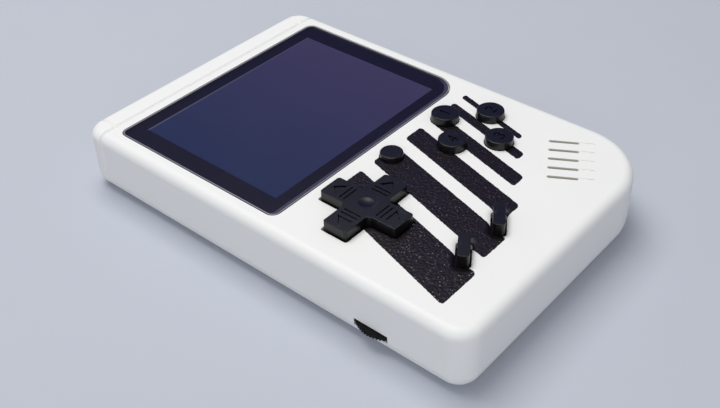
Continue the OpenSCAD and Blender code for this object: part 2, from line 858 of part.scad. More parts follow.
// Silicone mats, with a dome under each place that is pressed
module pad_mat() {
    color("gray") at(pad_x, row_y) {
        rod(0, 0, pad_dome_x + dome_r + mat_rim, board_top, mat_top);
        for (a = [0, 90, 180, 270])
            rod(pad_dome_x * cos(a), pad_dome_x * sin(a), dome_r, mat_top, pad_dome_top);
        rod(0, 0, pivot_r, mat_top, pivot_z - pivot_r / 2 - gap);
    }
}

module button_mat() {
    color("gray") {
        rod(buttons_x, row_y, buttons_pitch + dome_r + mat_rim, board_top, mat_top);
        button_places() rod(0, 0, dome_r, mat_top, dome_top);
    }
}

module bar_mat() {
    r = 3;
    w = 2 * (dome_r + mat_rim);
    color("gray") {
        at((select_x + start_x) / 2, bars_y) plate(rounded(bar_pitch + w, w, even(r)), board_top, mat_top);
        for (x = [select_x, start_x]) rod(x, bars_y, dome_r, mat_top, dome_top);
    }
}

module reset_mat() {
    color("gray") {
        rod(reset_x, reset_y, dome_r + mat_rim, board_top, mat_top);
        rod(reset_x, reset_y, dome_r, mat_top, dome_top);
    }
}

// Ball under the middle of the pad, flat below where it stands on the mat
module pivot_ball() {
    color("dimgray") translate([pad_x, row_y, pivot_z]) difference() {
        sphere(r = pivot_r);
        block([-pivot_r, -pivot_r, -2 * pivot_r], [pivot_r, pivot_r, -pivot_r / 2]);
    }
}

// Engraved arrow head and two lines on the arm that points along X
module arm_marks() {
    tip = pad_span / 2 - mark_end;
    half = pad_arm / 2 - mark_side;
    z0 = pad_top - mark_d;
    z1 = pad_top + over;
    base = tip - arrow_l;
    inner_tip = tip - mark_w * norm([half, arrow_l]) / half;
    inner_base = base + mark_w;
    inner_half = (inner_tip - inner_base) * half / arrow_l;
    difference() {
        plate([[tip, 0], [base, half], [base, -half]], z0, z1);
        plate([[inner_tip, 0], [inner_base, inner_half], [inner_base, -inner_half]], z0 - over, z1 + over);
    }
    for (i = [1, 2]) let (x = base - mark_pitch * i)
        block([x - mark_w / 2, -half, z0], [x + mark_w / 2, half, z1]);
}

module direction_pad() {
    ball_gap = 0.08;
    bowl_r = (dimple_r * dimple_r + dimple_d * dimple_d) / (2 * dimple_d);
    color("black") at(pad_x, row_y) difference() {
        union() {
            plate(cross(pad_span + 2 * pad_flange, pad_arm + 2 * pad_flange, pad_corner + pad_flange, least_corner),
                pivot_z, pad_flange_top);
            plate(cross(pad_span, pad_arm, pad_corner, pad_inner_r), pivot_z, pad_top);
        }
        translate([0, 0, pivot_z]) sphere(r = pivot_r + ball_gap);
        translate([0, 0, pad_top - dimple_d + bowl_r]) sphere(r = bowl_r);
        for (a = [0, 90, 180, 270]) rotate(a) arm_marks();
    }
}

// Round button with its flange and plunger, standing h above the face
module round_button(r, h) {
    top = body_t + h;
    top_r = r - button_draft;
    color("black") rotate_extrude() polygon([
        [0, plunger_z], [plunger_r, plunger_z], [plunger_r, flange_z],
        [r + button_flange, flange_z], [r + button_flange, flange_top], [r, flange_top],
        [r, body_t], [top_r, top - button_edge], [top_r - button_edge, top], [0, top]
    ]);
}

module face_button(a) {
    at(buttons_x + buttons_pitch * cos(a), row_y + buttons_pitch * sin(a)) round_button(button_r, button_h);
}

module top_button() { face_button(90); }
module right_button() { face_button(0); }
module bottom_button() { face_button(270); }
module left_button() { face_button(180); }
module reset_button() { at(reset_x, reset_y) round_button(reset_r, reset_h); }

// Side view of a bar of width w, chamfered at its top
function bar_side(w) = [
    [-w / 2, flange_z], [w / 2, flange_z], [w / 2, body_t + bar_h - bar_edge],
    [w / 2 - bar_edge, body_t + bar_h], [bar_edge - w / 2, body_t + bar_h], [-w / 2, body_t + bar_h - bar_edge]
];

module bar_button(x) {
    color("black") at(x, bars_y) rotate(bar_angle) {
        intersection() {
            translate([0, bar_w / 2, 0]) rotate([90, 0, 0]) linear_extrude(bar_w) polygon(bar_side(bar_l));
            translate([-bar_l / 2, 0, 0]) rotate([90, 0, 90]) linear_extrude(bar_l) polygon(bar_side(bar_w));
            bar_outline(0, flange_z, body_t + bar_h);
        }
        bar_outline(gap + button_flange, flange_z, flange_top);
        rod(0, 0, plunger_r, plunger_z, flange_z);
    }
}

module start_bar() { bar_button(start_x); }
module select_bar() { bar_button(select_x); }

module ring(r, w, z0, z1) {
    at(speaker_x, speaker_y) difference() {
        rod(0, 0, r, z0, z1);
        rod(0, 0, r - w, z0 - over, z1 + over);
    }
}

module speaker_gasket() {
    color("dimgray") ring(speaker_r, gasket_w, gasket_z, inner_z);
}

module speaker_frame() {
    color("silver") at(speaker_x, speaker_y) difference() {
        rod(0, 0, speaker_r, speaker_z, gasket_z);
        rod(0, 0, speaker_r - speaker_skin, speaker_z + speaker_skin, gasket_z + over);
        rod(0, 0, magnet_r / 2, speaker_z - over, gasket_z);
    }
}

module speaker_cone() {
    rim = speaker_r - speaker_skin - snug;
    t = 0.3;
    edge_w = 1.2;
    cap_rise = 0.6;
    cap_w = rim / 3;
    low = speaker_z + speaker_skin + snug;
    high = gasket_z - t - snug / 2;
    color("dimgray") at(speaker_x, speaker_y) rotate_extrude() polygon([
        [0, low + cap_rise], [cap_w, low], [rim - edge_w, high], [rim, high],
        [rim, high + t], [rim - edge_w, high + t], [cap_w, low + t], [0, low + cap_rise + t]
    ]);
}

module speaker_magnet() {
    color("gray") rod(speaker_x, speaker_y, magnet_r, magnet_z, speaker_z);
}

// Two leads from the speaker frame to the board
module speaker_leads() {
    lead_r = 0.4;
    lead_x = 1.5;
    lead_room = 2;
    color("firebrick") for (x = [-lead_x, lead_x])
        rod(speaker_x + x, speaker_y + magnet_r + lead_room, lead_r, board_top, speaker_z);
}

module volume_pot() {
    color("saddlebrown") {
        block([pot_x, wheel_y - pot_l / 2, wheel_top + gap], [pot_x + pot_w, wheel_y + pot_l / 2, board_z]);
        rod(wheel_x, wheel_y, axle_r, wheel_z - gap, wheel_top + gap);
        rod(wheel_x, wheel_y, rivet_r, wheel_z - gap - rivet_t, wheel_z - gap);
    }
}

module volume_wheel() {
    step = 360 / wheel_ridges;
    rim = [
        for (i = [0 : wheel_ridges - 1])
            for (k = [0 : 3])
                let (a = step * (i + k / 4), r = wheel_r - (k > 1 ? ridge_d : 0))
                    [r * cos(a), r * sin(a)]
    ];
    color("black") at(wheel_x, wheel_y) difference() {
        plate(rim, wheel_z, wheel_top);
        rod(0, 0, axle_r + axle_gap, wheel_z - over, wheel_top + over);
    }
}

module switch_body() {
    color("silver") block([switch_face - switch_w, switch_y - switch_l / 2, board_z - switch_h],
        [switch_face, switch_y + switch_l / 2, board_z]);
}

module switch_slider() {
    guard = 1.2;
    guard_t = 0.9;
    root = switch_face + gap;
    color("black") {
        block([root, knob_y - knob_l / 2, knob_z - knob_t / 2],
            [half_w + knob_out, knob_y + knob_l / 2, knob_z + knob_t / 2]);
        block([root, knob_y - knob_l / 2 - guard, knob_z - knob_t / 2],
            [root + guard_t, knob_y + knob_l / 2 + guard, knob_z + knob_t / 2]);
    }
}

module charge_port() {
    tongue_w = 4;
    tongue_t = 0.6;
    back = port_front - usb_l;
    mid = board_z - usb_h / 2;
    color("silver") {
        difference() {
            block([usb_x - usb_w / 2, back, usb_z], [usb_x + usb_w / 2, port_front, board_z]);
            block([usb_x - usb_w / 2 + usb_skin, back + usb_skin, usb_z + usb_skin],
                [usb_x + usb_w / 2 - usb_skin, port_front + over, board_z - usb_skin]);
        }
        block([usb_x - tongue_w / 2, back + usb_skin, mid - tongue_t / 2],
            [usb_x + tongue_w / 2, port_front - tongue_sink, mid + tongue_t / 2]);
    }
}

module av_jack() {
    color("black") difference() {
        union() {
            block([jack_x - jack_w / 2, jack_back, jack_z - jack_h / 2],
                [jack_x + jack_w / 2, port_front, board_z]);
            translate([jack_x, jack_end, jack_z]) rotate([90, 0, 0])
                cylinder(r = jack_nose_r, h = jack_end - port_front + over);
        }
        translate([jack_x, jack_end + over, jack_z]) rotate([90, 0, 0])
            cylinder(r = jack_bore_r, h = jack_bore_l + over);
    }
}

module battery() {
    r = 2;
    color("lightsteelblue") at(0, battery_y + battery_l / 2)
        plate(rounded(battery_w, battery_l, even(r)), battery_z, battery_z + battery_t);
}

module battery_contacts() {
    foot_y = bay_y + bay_l - snug / 2;
    leg_y = bay_y + bay_l + bay_wall + contact_t;
    color("gold") for (x = contact_x) translate([x - contact_w / 2, 0, 0])
        rotate([90, 0, 90]) linear_extrude(contact_w) polygon([
            [foot_y, contact_z - contact_t / 2],
            [leg_y + contact_t, contact_z - contact_t / 2],
            [leg_y + contact_t, board_z],
            [leg_y, board_z],
            [leg_y, contact_z + contact_t / 2],
            [foot_y, contact_z + contact_t / 2]
        ]);
}

module battery_door() {
    r = 1.5;
    grip_count = 5;
    grip_pitch = 1.8;
    grip_w = 12;
    grip_t = 0.8;
    grip_d = 0.4;
    grip_down = 5.2;
    grip_end = door_end - grip_down;
    color("white") {
        difference() {
            at(0, door_y + door_l / 2) plate(rounded(door_w, door_l, even(r)), door_sink, door_top);
            for (i = [0 : grip_count - 1])
                block([-grip_w / 2, grip_end - grip_t - grip_pitch * i, door_sink - over],
                    [grip_w / 2, grip_end - grip_pitch * i, door_sink + grip_d]);
        }
        for (x = [-tab_x, tab_x]) {
            block([x - tab_w / 2, door_y, door_top], [x + tab_w / 2, door_y + tab_root, tab_top]);
            block([x - tab_w / 2, door_y - tab_reach, tab_top - tab_t], [x + tab_w / 2, door_y + tab_root, tab_top]);
        }
        block([-latch_w / 2, latch_y, door_top], [latch_w / 2, latch_y + latch_t, tab_top]);
    }
}

// Pan head screw pointing up, head from z0, with a cross recess
module screw(z0, l) {
    slot_l = 2.2;
    slot_t = 0.5;
    slot_deep = 0.6;
    difference() {
        union() {
            rod(0, 0, head_r, z0, z0 + head_h);
            rod(0, 0, shank_r, z0, z0 + head_h + l);
        }
        for (a = [0, 90]) rotate(a)
            block([-slot_l / 2, -slot_t / 2, z0 - over], [slot_l / 2, slot_t / 2, z0 + slot_deep]);
    }
}

module shell_screws() {
    color("silver") for (p = boss_places) at(p[0], p[1]) screw(well_floor - head_h, shell_screw_l);
}

module board_screws() {
    color("silver") for (p = post_places) at(p[0], p[1]) screw(board_z - head_h, board_screw_l);
}

front_shell();
rear_shell();
screen_lens();
lens_border();
display_panel();
backlight_plate();
display_frame();
display_foam();
display_cable();
cable_connector();
main_board();
main_chip();
memory_chip();
crystal();
capacitors();
pad_mat();
button_mat();
bar_mat();
reset_mat();
pivot_ball();
direction_pad();
top_button();
right_button();
bottom_button();
left_button();
reset_button();
start_bar();
select_bar();
speaker_gasket();
speaker_frame();
speaker_cone();
speaker_magnet();
speaker_leads();
volume_pot();
volume_wheel();
switch_body();
switch_slider();
charge_port();
av_jack();
battery();
battery_contacts();
battery_door();
shell_screws();
board_screws();
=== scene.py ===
"""Handheld game console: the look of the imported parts, seen from the camera of the photograph.

Sizes are millimetres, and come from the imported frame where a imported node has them. Meshes are made in
metres, in the frame's own axes: X to the player's right, Y towards the screen end, Z out of the face.
"""
import logging
import math
from dataclasses import dataclass
from enum import Enum
from functools import cache, reduce
from typing import ClassVar, NamedTuple, Union

import bmesh
import bpy
from mathutils import Matrix, Vector


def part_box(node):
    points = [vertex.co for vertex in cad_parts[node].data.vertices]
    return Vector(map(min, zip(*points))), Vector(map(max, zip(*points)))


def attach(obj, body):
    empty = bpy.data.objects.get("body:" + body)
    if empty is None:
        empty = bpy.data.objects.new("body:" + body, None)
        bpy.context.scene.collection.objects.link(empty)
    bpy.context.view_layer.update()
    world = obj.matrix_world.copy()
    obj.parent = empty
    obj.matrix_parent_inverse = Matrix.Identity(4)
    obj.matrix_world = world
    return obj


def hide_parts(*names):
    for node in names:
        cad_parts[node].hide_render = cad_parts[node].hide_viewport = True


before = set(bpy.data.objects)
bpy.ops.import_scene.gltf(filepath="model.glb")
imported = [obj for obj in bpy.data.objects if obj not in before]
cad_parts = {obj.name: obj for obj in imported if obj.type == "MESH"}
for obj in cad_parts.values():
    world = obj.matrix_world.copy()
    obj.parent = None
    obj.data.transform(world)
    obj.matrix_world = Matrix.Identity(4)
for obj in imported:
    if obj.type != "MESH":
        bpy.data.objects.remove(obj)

LOG = logging.getLogger("console")
ROOT = "console"
# A millimetre in metres, and the millimetres in a metre
MM = 0.001
PER_METRE = 1000.0
# Least share of Z in the normal of a level face
LEVEL = 0.99995
# Weight that keeps the normals of large faces
NORMAL_WEIGHT = 70
# Angle in degrees above which an edge is sharp, on the case and on the controls
CASE_SHARP = 32.0
KEY_SHARP = 28.0
# Least radius of a ring, and the distance in metres below which points are merged
POINT = 0.001
MERGE_M = 1e-7
# How far a cutter runs past the surface that it cuts
PAST = 1.0
# Straight stretch left between two roundings
FLAT = 0.01
# Angles in degrees of the rings of a hole's rounded rim
RIM_TURNS = (0.0, 22.0, 45.0, 66.0, 84.0)

Point = tuple[float, float]
Ring = list[tuple[float, float, float]]
Colour = tuple[float, float, float]


class Cut(Enum):
    """What a boolean does with its tool."""

    REMOVE = "DIFFERENCE"
    ADD = "UNION"


class Arm(Enum):
    """Directions of the pad's arms and of the face buttons, in degrees about Z."""

    RIGHT = 0
    UP = 90
    LEFT = 180
    DOWN = 270


class Socket(Enum):
    """Kinds of sockets of a node tree."""

    NUMBER = "NodeSocketFloat"
    WHOLE = "NodeSocketInt"
    COLOUR = "NodeSocketColor"
    VECTOR = "NodeSocketVector"
    SHAPE = "NodeSocketGeometry"
    PIECE = "NodeSocketObject"


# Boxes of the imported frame


class Place(NamedTuple):
    """Lengths along X, Y and Z."""

    x: float
    y: float
    z: float


def to_micron(value: float) -> float:
    """Length to the nearest thousandth of a millimetre."""
    return round(value, 3)


class PackedBox:
    """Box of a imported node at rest."""

    def __init__(self, node: str) -> None:
        """Reads the box of a node."""
        self.low, self.high = (Place(*(to_micron(c / MM) for c in corner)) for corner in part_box(node))

    @property
    def size(self) -> Place:
        """Sizes of the box."""
        return Place(*(to_micron(b - a) for a, b in zip(self.low, self.high)))

    @property
    def middle(self) -> Place:
        """Middle of the box."""
        return Place(*(to_micron((a + b) / 2) for a, b in zip(self.low, self.high)))


# Outlines


def arc(centre: Point, radius: float, start: float, end: float, steps: int) -> list[Point]:
    """Points on a circular arc.

    Args:
        centre: Middle of the circle.
        radius: Radius of the circle.
        start: First angle in degrees.
        end: Last angle in degrees.
        steps: Number of chords.

    Returns:
        steps + 1 points.
    """
    angles = [math.radians(start + (end - start) * i / steps) for i in range(steps + 1)]
    return [(centre[0] + radius * math.cos(a), centre[1] + radius * math.sin(a)) for a in angles]


def rounded(width: float, length: float, radii: tuple[float, ...], steps: tuple[int, ...]) -> list[Point]:
    """Rectangle about the origin with rounded corners, anticlockwise from the lower left corner.

    Args:
        width: Size along X.
        length: Size along Y.
        radii: Radius of each corner.
        steps: Chords of each corner.

    Returns:
        The outline's points.
    """
    half_w, half_l = width / 2, length / 2
    signs = ((-1, -1, 180), (1, -1, 270), (1, 1, 0), (-1, 1, 90))
    points: list[Point] = []
    for (sx, sy, start), radius, count in zip(signs, radii, steps):
        centre = (sx * (half_w - radius), sy * (half_l - radius))
        points += arc(centre, radius, start, start + 90, count)
    return points


def even(width: float, length: float, radius: float, steps: int = 8) -> list[Point]:
    """Rectangle with the same rounding at its four corners."""
    return rounded(width, length, (radius,) * 4, (steps,) * 4)


def circle(radius: float, steps: int = 64) -> list[Point]:
    """Circle about the origin."""
    return arc((0, 0), radius, 0, 360 - 360 / steps, steps - 1)


def moved(points: list[Point], x: float, y: float, angle: float = 0.0) -> list[Point]:
    """Outline turned about the origin by an angle in degrees and then moved."""
    cos, sin = math.cos(math.radians(angle)), math.sin(math.radians(angle))
    return [(x + px * cos - py * sin, y + px * sin + py * cos) for px, py in points]


def cross(span: float, arm: float, tip_r: float, inner_r: float, steps: int = 6) -> list[Point]:
    """Cross with rounded tips and rounded inner corners.

    Args:
        span: Size from tip to tip.
        arm: Width of the arms.
        tip_r: Radius of the tips' corners.
        inner_r: Radius between the arms.
        steps: Chords of each rounding.

    Returns:
        The outline's points, anticlockwise.
    """
    quarter = arc((span / 2 - tip_r, tip_r - arm / 2), tip_r, -90, 0, steps)
    quarter += arc((span / 2 - tip_r, arm / 2 - tip_r), tip_r, 0, 90, steps)
    quarter += arc((arm / 2 + inner_r, arm / 2 + inner_r), inner_r, 270, 180, steps)
    return [p for turn in range(4) for p in moved(quarter, 0, 0, 90 * turn)]


def level(points: list[Point], z: float) -> Ring:
    """Outline at a height."""
    return [(x, y, z) for x, y in points]


def flared(points: list[Point], grown: list[Point], low: float, top: float, flare: float) -> list[Ring]:
    """Rings of a cutter whose mouth widens in a quarter round, for a hole with a rounded rim.

    Args:
        points: Outline of the hole.
        grown: The same outline grown by flare.
        low: Height of the lower end.
        top: Height of the surface.
        flare: Radius of the rim.

    Returns:
        Rings from the bottom up.
    """
    rings = [level(points, low)]
    for angle in RIM_TURNS:
        turn = math.radians(angle)
        grow = 1 - math.cos(turn)
        mixed = [(a[0] + (b[0] - a[0]) * grow, a[1] + (b[1] - a[1]) * grow) for a, b in zip(points, grown)]
        rings.append(level(mixed, top - flare + flare * math.sin(turn)))
    rings.append([(x, y, top + PAST) for x, y, _ in rings[-1]])
    return rings


# Meshes


class Draft:
    """Collects closed shells and turns them into one object."""

    block_steps: ClassVar[int] = 3
    block_corner: ClassVar[float] = 0.3

    def __init__(self, name: str) -> None:
        """Starts without shells.

        Args:
            name: Name of the object.
        """
        self.name = name
        self.points: list[tuple[float, float, float]] = []
        self.faces: list[tuple[int, ...]] = []

    def loft(self, rings: list[Ring]) -> "Draft":
        """Adds a closed shell through rings of equal length, capped at both ends.

        Args:
            rings: Outlines in order; each runs anticlockwise seen from the end of the loft.

        Returns:
            The draft itself.
        """
        first, count = len(self.points), len(rings[0])
        for ring in rings:
            self.points += ring
        for k in range(len(rings) - 1):
            low, high = first + k * count, first + (k + 1) * count
            for i in range(count):
                j = (i + 1) % count
                self.faces.append((low + i, low + j, high + j, high + i))
        last = first + (len(rings) - 1) * count
        self.faces.append(tuple(reversed(range(first, first + count))))
        self.faces.append(tuple(range(last, last + count)))
        return self

    def prism(self, points: list[Point], low: float, high: float) -> "Draft":
        """Adds an upright prism."""
        return self.loft([level(points, low), level(points, high)])

    def block(self, low: tuple[float, ...], high: tuple[float, ...], edge: float = 0.0) -> "Draft":
        """Adds a box.

        Args:
            low: Its lowest corner.
            high: Its highest corner.
            edge: How much is cut off its edges; 0 leaves them sharp.

        Returns:
            The draft itself.
        """
        x, y = (low[0] + high[0]) / 2, (low[1] + high[1]) / 2
        width, length = high[0] - low[0], high[1] - low[1]
        if edge <= 0:
            return self.prism(moved(even(width, length, POINT, 1), x, y), low[2], high[2])
        full = moved(even(width, length, edge, self.block_steps), x, y)
        less = even(width - 2 * edge, length - 2 * edge, self.block_corner * edge, self.block_steps)
        less = moved(less, x, y)
        return self.loft([level(less, low[2]), level(full, low[2] + edge), level(full, high[2] - edge),
                          level(less, high[2])])

    def turned(self, profile: list[Point], x: float, y: float, steps: int) -> "Draft":
        """Adds a solid of revolution about an upright axis.

        Args:
            profile: Radius and height, from the bottom to the top.
            x: Place of the axis.
            y: Place of the axis.
            steps: Chords round the axis.

        Returns:
            The draft itself.
        """
        return self.loft([level(moved(circle(max(r, POINT), steps), x, y), z) for r, z in profile])

    def build(self) -> bpy.types.Object:
        """Makes the object in metres and links it to the scene.

        Returns:
            The object.
        """
        mesh = bpy.data.meshes.new(self.name)
        mesh.from_pydata([tuple(c * MM for c in p) for p in self.points], [], self.faces)
        work = bmesh.new()
        work.from_mesh(mesh)
        bmesh.ops.remove_doubles(work, verts=work.verts, dist=MERGE_M)
        bmesh.ops.recalc_face_normals(work, faces=work.faces)
        work.to_mesh(mesh)
        work.free()
        return linked(self.name, mesh)


def linked(name: str, data: bpy.types.ID) -> bpy.types.Object:
    """Makes an object of some data and links it to the scene.

    Args:
        name: Name of the object.
        data: Its mesh, light or camera.

    Returns:
        The object.
    """
    made = bpy.data.objects.new(name, data)
    bpy.context.scene.collection.objects.link(made)
    return made


def discard(obj: bpy.types.Object) -> None:
    """Removes an object and its mesh.

    Args:
        obj: The object.
    """
    mesh = obj.data
    bpy.data.objects.remove(obj)
    bpy.data.meshes.remove(mesh)


def settle(obj: bpy.types.Object) -> None:
    """Bakes the modifiers of an object into its mesh and removes them.

    Args:
        obj: Object to change.
    """
    graph = bpy.context.evaluated_depsgraph_get()
    mesh = bpy.data.meshes.new_from_object(obj.evaluated_get(graph))
    obj.modifiers.clear()
    old = obj.data
    obj.data = mesh
    bpy.data.meshes.remove(old)


def carve(obj: bpy.types.Object, tool: Draft, cut: Cut = Cut.REMOVE, crossing: bool = False) -> None:
    """Cuts an object by a draft, or joins them.

    Args:
        obj: Object to change.
        tool: Draft of the tool, which is used up.
        cut: What to do with the tool.
        crossing: Whether shells of the tool cross one another.
    """
    made = tool.build()
    step = obj.modifiers.new("carve", "BOOLEAN")
    step.operation = cut.value
    step.solver = "EXACT"
    step.use_self = crossing
    step.object = made
    settle(obj)
    discard(made)


def smooth(obj: bpy.types.Object, angle: float = CASE_SHARP) -> None:
    """Shades an object smooth; level faces keep their own normal.

    Args:
        obj: Object to change.
        angle: Angle in degrees above which an edge is sharp.
    """
    obj.data.shade_smooth()
    obj.data.set_sharp_from_angle(angle=math.radians(angle))
    step = obj.modifiers.new("weight", "WEIGHTED_NORMAL")
    step.keep_sharp = True
    step.weight = NORMAL_WEIGHT
    settle(obj)
    mesh = obj.data
    normals = [tuple(corner.vector) for corner in mesh.corner_normals]
    for face in mesh.polygons:
        if abs(face.normal.z) > LEVEL:
            for corner in face.loop_indices:
                normals[corner] = tuple(face.normal)
    mesh.normals_split_custom_set(normals)


# Node trees


class Term:
    """Output of a node; a formula of terms and numbers adds the math nodes that it needs."""

    def __init__(self, graph: "Graph", socket: bpy.types.NodeSocket) -> None:
        """Ties an output to its graph."""
        self.graph = graph
        self.socket = socket

    def __add__(self, other: "Value") -> "Term":
        """Sum."""
        return self.graph.math("ADD", self, other)

    def __sub__(self, other: "Value") -> "Term":
        """Difference."""
        return self.graph.math("SUBTRACT", self, other)

    def __rsub__(self, other: float) -> "Term":
        """Difference from a number."""
        return self.graph.math("SUBTRACT", other, self)

    def __mul__(self, other: "Value") -> "Term":
        """Product."""
        return self.graph.math("MULTIPLY", self, other)

    def __truediv__(self, other: "Value") -> "Term":
        """Quotient."""
        return self.graph.math("DIVIDE", self, other)

    def __rtruediv__(self, other: float) -> "Term":
        """Quotient of a number."""
        return self.graph.math("DIVIDE", other, self)

    def clamped(self) -> "Term":
        """The result of the last math node, kept between 0 and 1."""
        self.socket.node.use_clamp = True
        return self


Value = Union[Term, bpy.types.ID, float, tuple[float, ...]]
Feeds = dict[Union[str, int], Value]


class Graph:
    """Short hand for building a node tree."""

    def __init__(self, tree: bpy.types.NodeTree) -> None:
        """Takes the tree to build."""
        self.tree = tree

    def join(self, source: Value, target: bpy.types.NodeSocket) -> None:
        """Links a term to an input, or sets a constant.

        Args:
            source: Term or constant.
            target: Input of a node.
        """
        if isinstance(source, Term):
            self.tree.links.new(source.socket, target)
        else:
            target.default_value = source

    def feed(self, node: bpy.types.Node, feeds: Feeds) -> None:
        """Joins values to inputs of a node, which are given by name or number."""
        for key, value in feeds.items():
            self.join(value, node.inputs[key])

    def add(self, kind: str, feeds: Feeds | None = None, **settings: object) -> bpy.types.Node:
        """Adds a node.

        Args:
            kind: Type of the node.
            feeds: Values of its inputs.
            settings: Its properties, which are set first.

        Returns:
            The node.
        """
        made = self.tree.nodes.new(kind)
        for key, value in settings.items():
            setattr(made, key, value)
        self.feed(made, feeds or {})
        return made

    def terms(self, kind: str, feeds: Feeds | None = None, **settings: object) -> dict[str, Term]:
        """Adds a node as add does and returns its outputs by name."""
        return {s.name: Term(self, s) for s in self.add(kind, feeds, **settings).outputs}

    def math(self, operation: str, *values: Value) -> Term:
        """Adds a math node and returns its result."""
        return self.terms("ShaderNodeMath", dict(enumerate(values)), operation=operation)["Value"]

    def mix(self, factor: Value, first: Value, second: Value) -> Term:
        """Mixes two colours.

        Args:
            factor: Share of the second colour.
            first: Colour at 0.
            second: Colour at 1.

        Returns:
            The mixed colour.
        """
        made = self.add("ShaderNodeMix", data_type="RGBA")
        sockets = [s for s in made.inputs if s.enabled]
        for value, target in zip((factor, first, second), sockets):
            self.join(value, target)
        return Term(self, next(s for s in made.outputs if s.enabled))

    def noise(self, place: Value, scale: Value, detail: float = 2.0) -> Term:
        """Adds 3-D noise from 0 to 1."""
        feeds = {"Vector": place, "Scale": scale, "Detail": detail}
        return self.terms("ShaderNodeTexNoise", feeds, noise_dimensions="3D")["Fac"]

    def cells(self, place: Value, scale: float, feature: str, **more: Value) -> dict[str, Term]:
        """Adds 3-D cells round scattered points; more holds further inputs."""
        feeds = {"Vector": place, "Scale": scale, **more}
        return self.terms("ShaderNodeTexVoronoi", feeds, feature=feature, voronoi_dimensions="3D")

    def scaled(self, vector: Value, factor: Value) -> Term:
        """Multiplies a vector by a number."""
        return self.terms("ShaderNodeVectorMath", {0: vector, "Scale": factor}, operation="SCALE")["Vector"]

    def split(self, vector: Value) -> list[Term]:
        """Parts of a vector along X, Y and Z."""
        return list(self.terms("ShaderNodeSeparateXYZ", {0: vector}).values())

    def ramp(self, value: Value, span: Point, ends: Point = (0.0, 1.0)) -> Term:
        """Maps a span of values to a straight ramp that is level outside it.

        Args:
            value: Value to map.
            span: Values at which the ramp starts and stops.
            ends: What it gives there.

        Returns:
            The mapped value.
        """
        feeds = {"Value": value, "From Min": span[0], "From Max": span[1],
                 "To Min": ends[0], "To Max": ends[1]}
        return self.terms("ShaderNodeMapRange", feeds, clamp=True)["Result"]

    def group(self, tree: bpy.types.NodeTree, feeds: Feeds) -> list[Term]:
        """Adds a shader node group and returns its outputs in order."""
        return list(self.terms("ShaderNodeGroup", feeds, node_tree=tree).values())

    def copies(self, points: Value, piece: Value, material: bpy.types.Material, **more: Value) -> Term:
        """Copies a piece to points in a geometry tree.

        Args:
            points: Where the copies go.
            piece: What is copied.
            material: Finish of the copies.
            more: Further inputs of the node that copies.

        Returns:
            The copies as real meshes.
        """
        spread = {"Points": points, "Instance": piece, **more}
        placed = self.terms("GeometryNodeInstanceOnPoints", spread)["Instances"]
        real = self.terms("GeometryNodeRealizeInstances", {"Geometry": placed})["Geometry"]
        return self.terms("GeometryNodeSetMaterial", {"Geometry": real, "Material": material})["Geometry"]


def new_tree(name: str, kind: str, inputs: dict[str, Socket],
             outputs: dict[str, Socket]) -> tuple[Graph, dict[str, Term], bpy.types.Node]:
    """Makes a node group.

    Args:
        name: Name of the group.
        kind: Type of its tree.
        inputs: Kind of each named input.
        outputs: Kind of each named output.

    Returns:
        Its graph, its inputs as terms, and its output node.
    """
    tree = bpy.data.node_groups.new(name, kind)
    for way, sockets in (("INPUT", inputs), ("OUTPUT", outputs)):
        for label, socket in sockets.items():
            tree.interface.new_socket(name=label, in_out=way, socket_type=socket.value)
    graph = Graph(tree)
    return graph, graph.terms("NodeGroupInput"), graph.add("NodeGroupOutput")


def grow(obj: bpy.types.Object, tree: bpy.types.NodeTree, values: dict[str, object]) -> None:
    """Runs a geometry tree on an object and bakes what it makes.

    Args:
        obj: Object to change.
        tree: The tree.
        values: Values of its named inputs.
    """
    step = obj.modifiers.new("tree", "NODES")
    step.node_group = tree
    for item in tree.interface.items_tree:
        if item.in_out == "INPUT" and item.name in values:
            step[item.identifier] = values[item.name]
    settle(obj)


# Shader node groups that the finishes share

WIDE_SCALE = 60.0
WIDE_DETAIL = 3.0
SPECK_SCALE = 900.0
SPECK_SPAN = (0.66, 0.78)
SPECK_COLOUR = (0.6, 0.58, 0.55, 1.0)
SPECK_DULLS = 0.3


@cache
def grain_group() -> bpy.types.NodeTree:
    """Fine moulded grain: varies colour and roughness a little and gives a height for a bump.

    Returns:
        The node group.
    """
    graph, given, sink = new_tree(
        "Moulded grain", "ShaderNodeTree",
        {"Place": Socket.VECTOR, "Size mm": Socket.NUMBER, "Colour": Socket.COLOUR, "Mottle": Socket.NUMBER,
         "Roughness": Socket.NUMBER, "Spread": Socket.NUMBER},
        {"Colour": Socket.COLOUR, "Roughness": Socket.NUMBER, "Height": Socket.NUMBER})
    fine = graph.noise(given["Place"], PER_METRE / given["Size mm"])
    swing = graph.noise(given["Place"], WIDE_SCALE, WIDE_DETAIL) - 0.5
    tint = graph.scaled(given["Colour"], swing * given["Mottle"] + 1.0)
    rough = (given["Roughness"] + swing * given["Spread"]).clamped()
    graph.feed(sink, {"Colour": tint, "Roughness": rough, "Height": fine})
    return graph.tree


@cache
def dust_group() -> bpy.types.NodeTree:
    """Sparse pale specks on faces that look up.

    Returns:
        The node group.
    """
    graph, given, sink = new_tree(
        "Settled dust", "ShaderNodeTree",
        {"Place": Socket.VECTOR, "Colour": Socket.COLOUR, "Amount": Socket.NUMBER,
         "Roughness": Socket.NUMBER},
        {"Colour": Socket.COLOUR, "Roughness": Socket.NUMBER})
    specks = graph.ramp(graph.noise(given["Place"], SPECK_SCALE, 1.0), SPECK_SPAN)
    normal = graph.terms("ShaderNodeNewGeometry")["Normal"]
    upward = graph.math("MAXIMUM", graph.split(normal)[2], 0.0)
    cover = specks * upward * given["Amount"]
    dull = (given["Roughness"] + cover * SPECK_DULLS).clamped()
    graph.feed(sink, {"Colour": graph.mix(cover, given["Colour"], SPECK_COLOUR), "Roughness": dull})
    return graph.tree


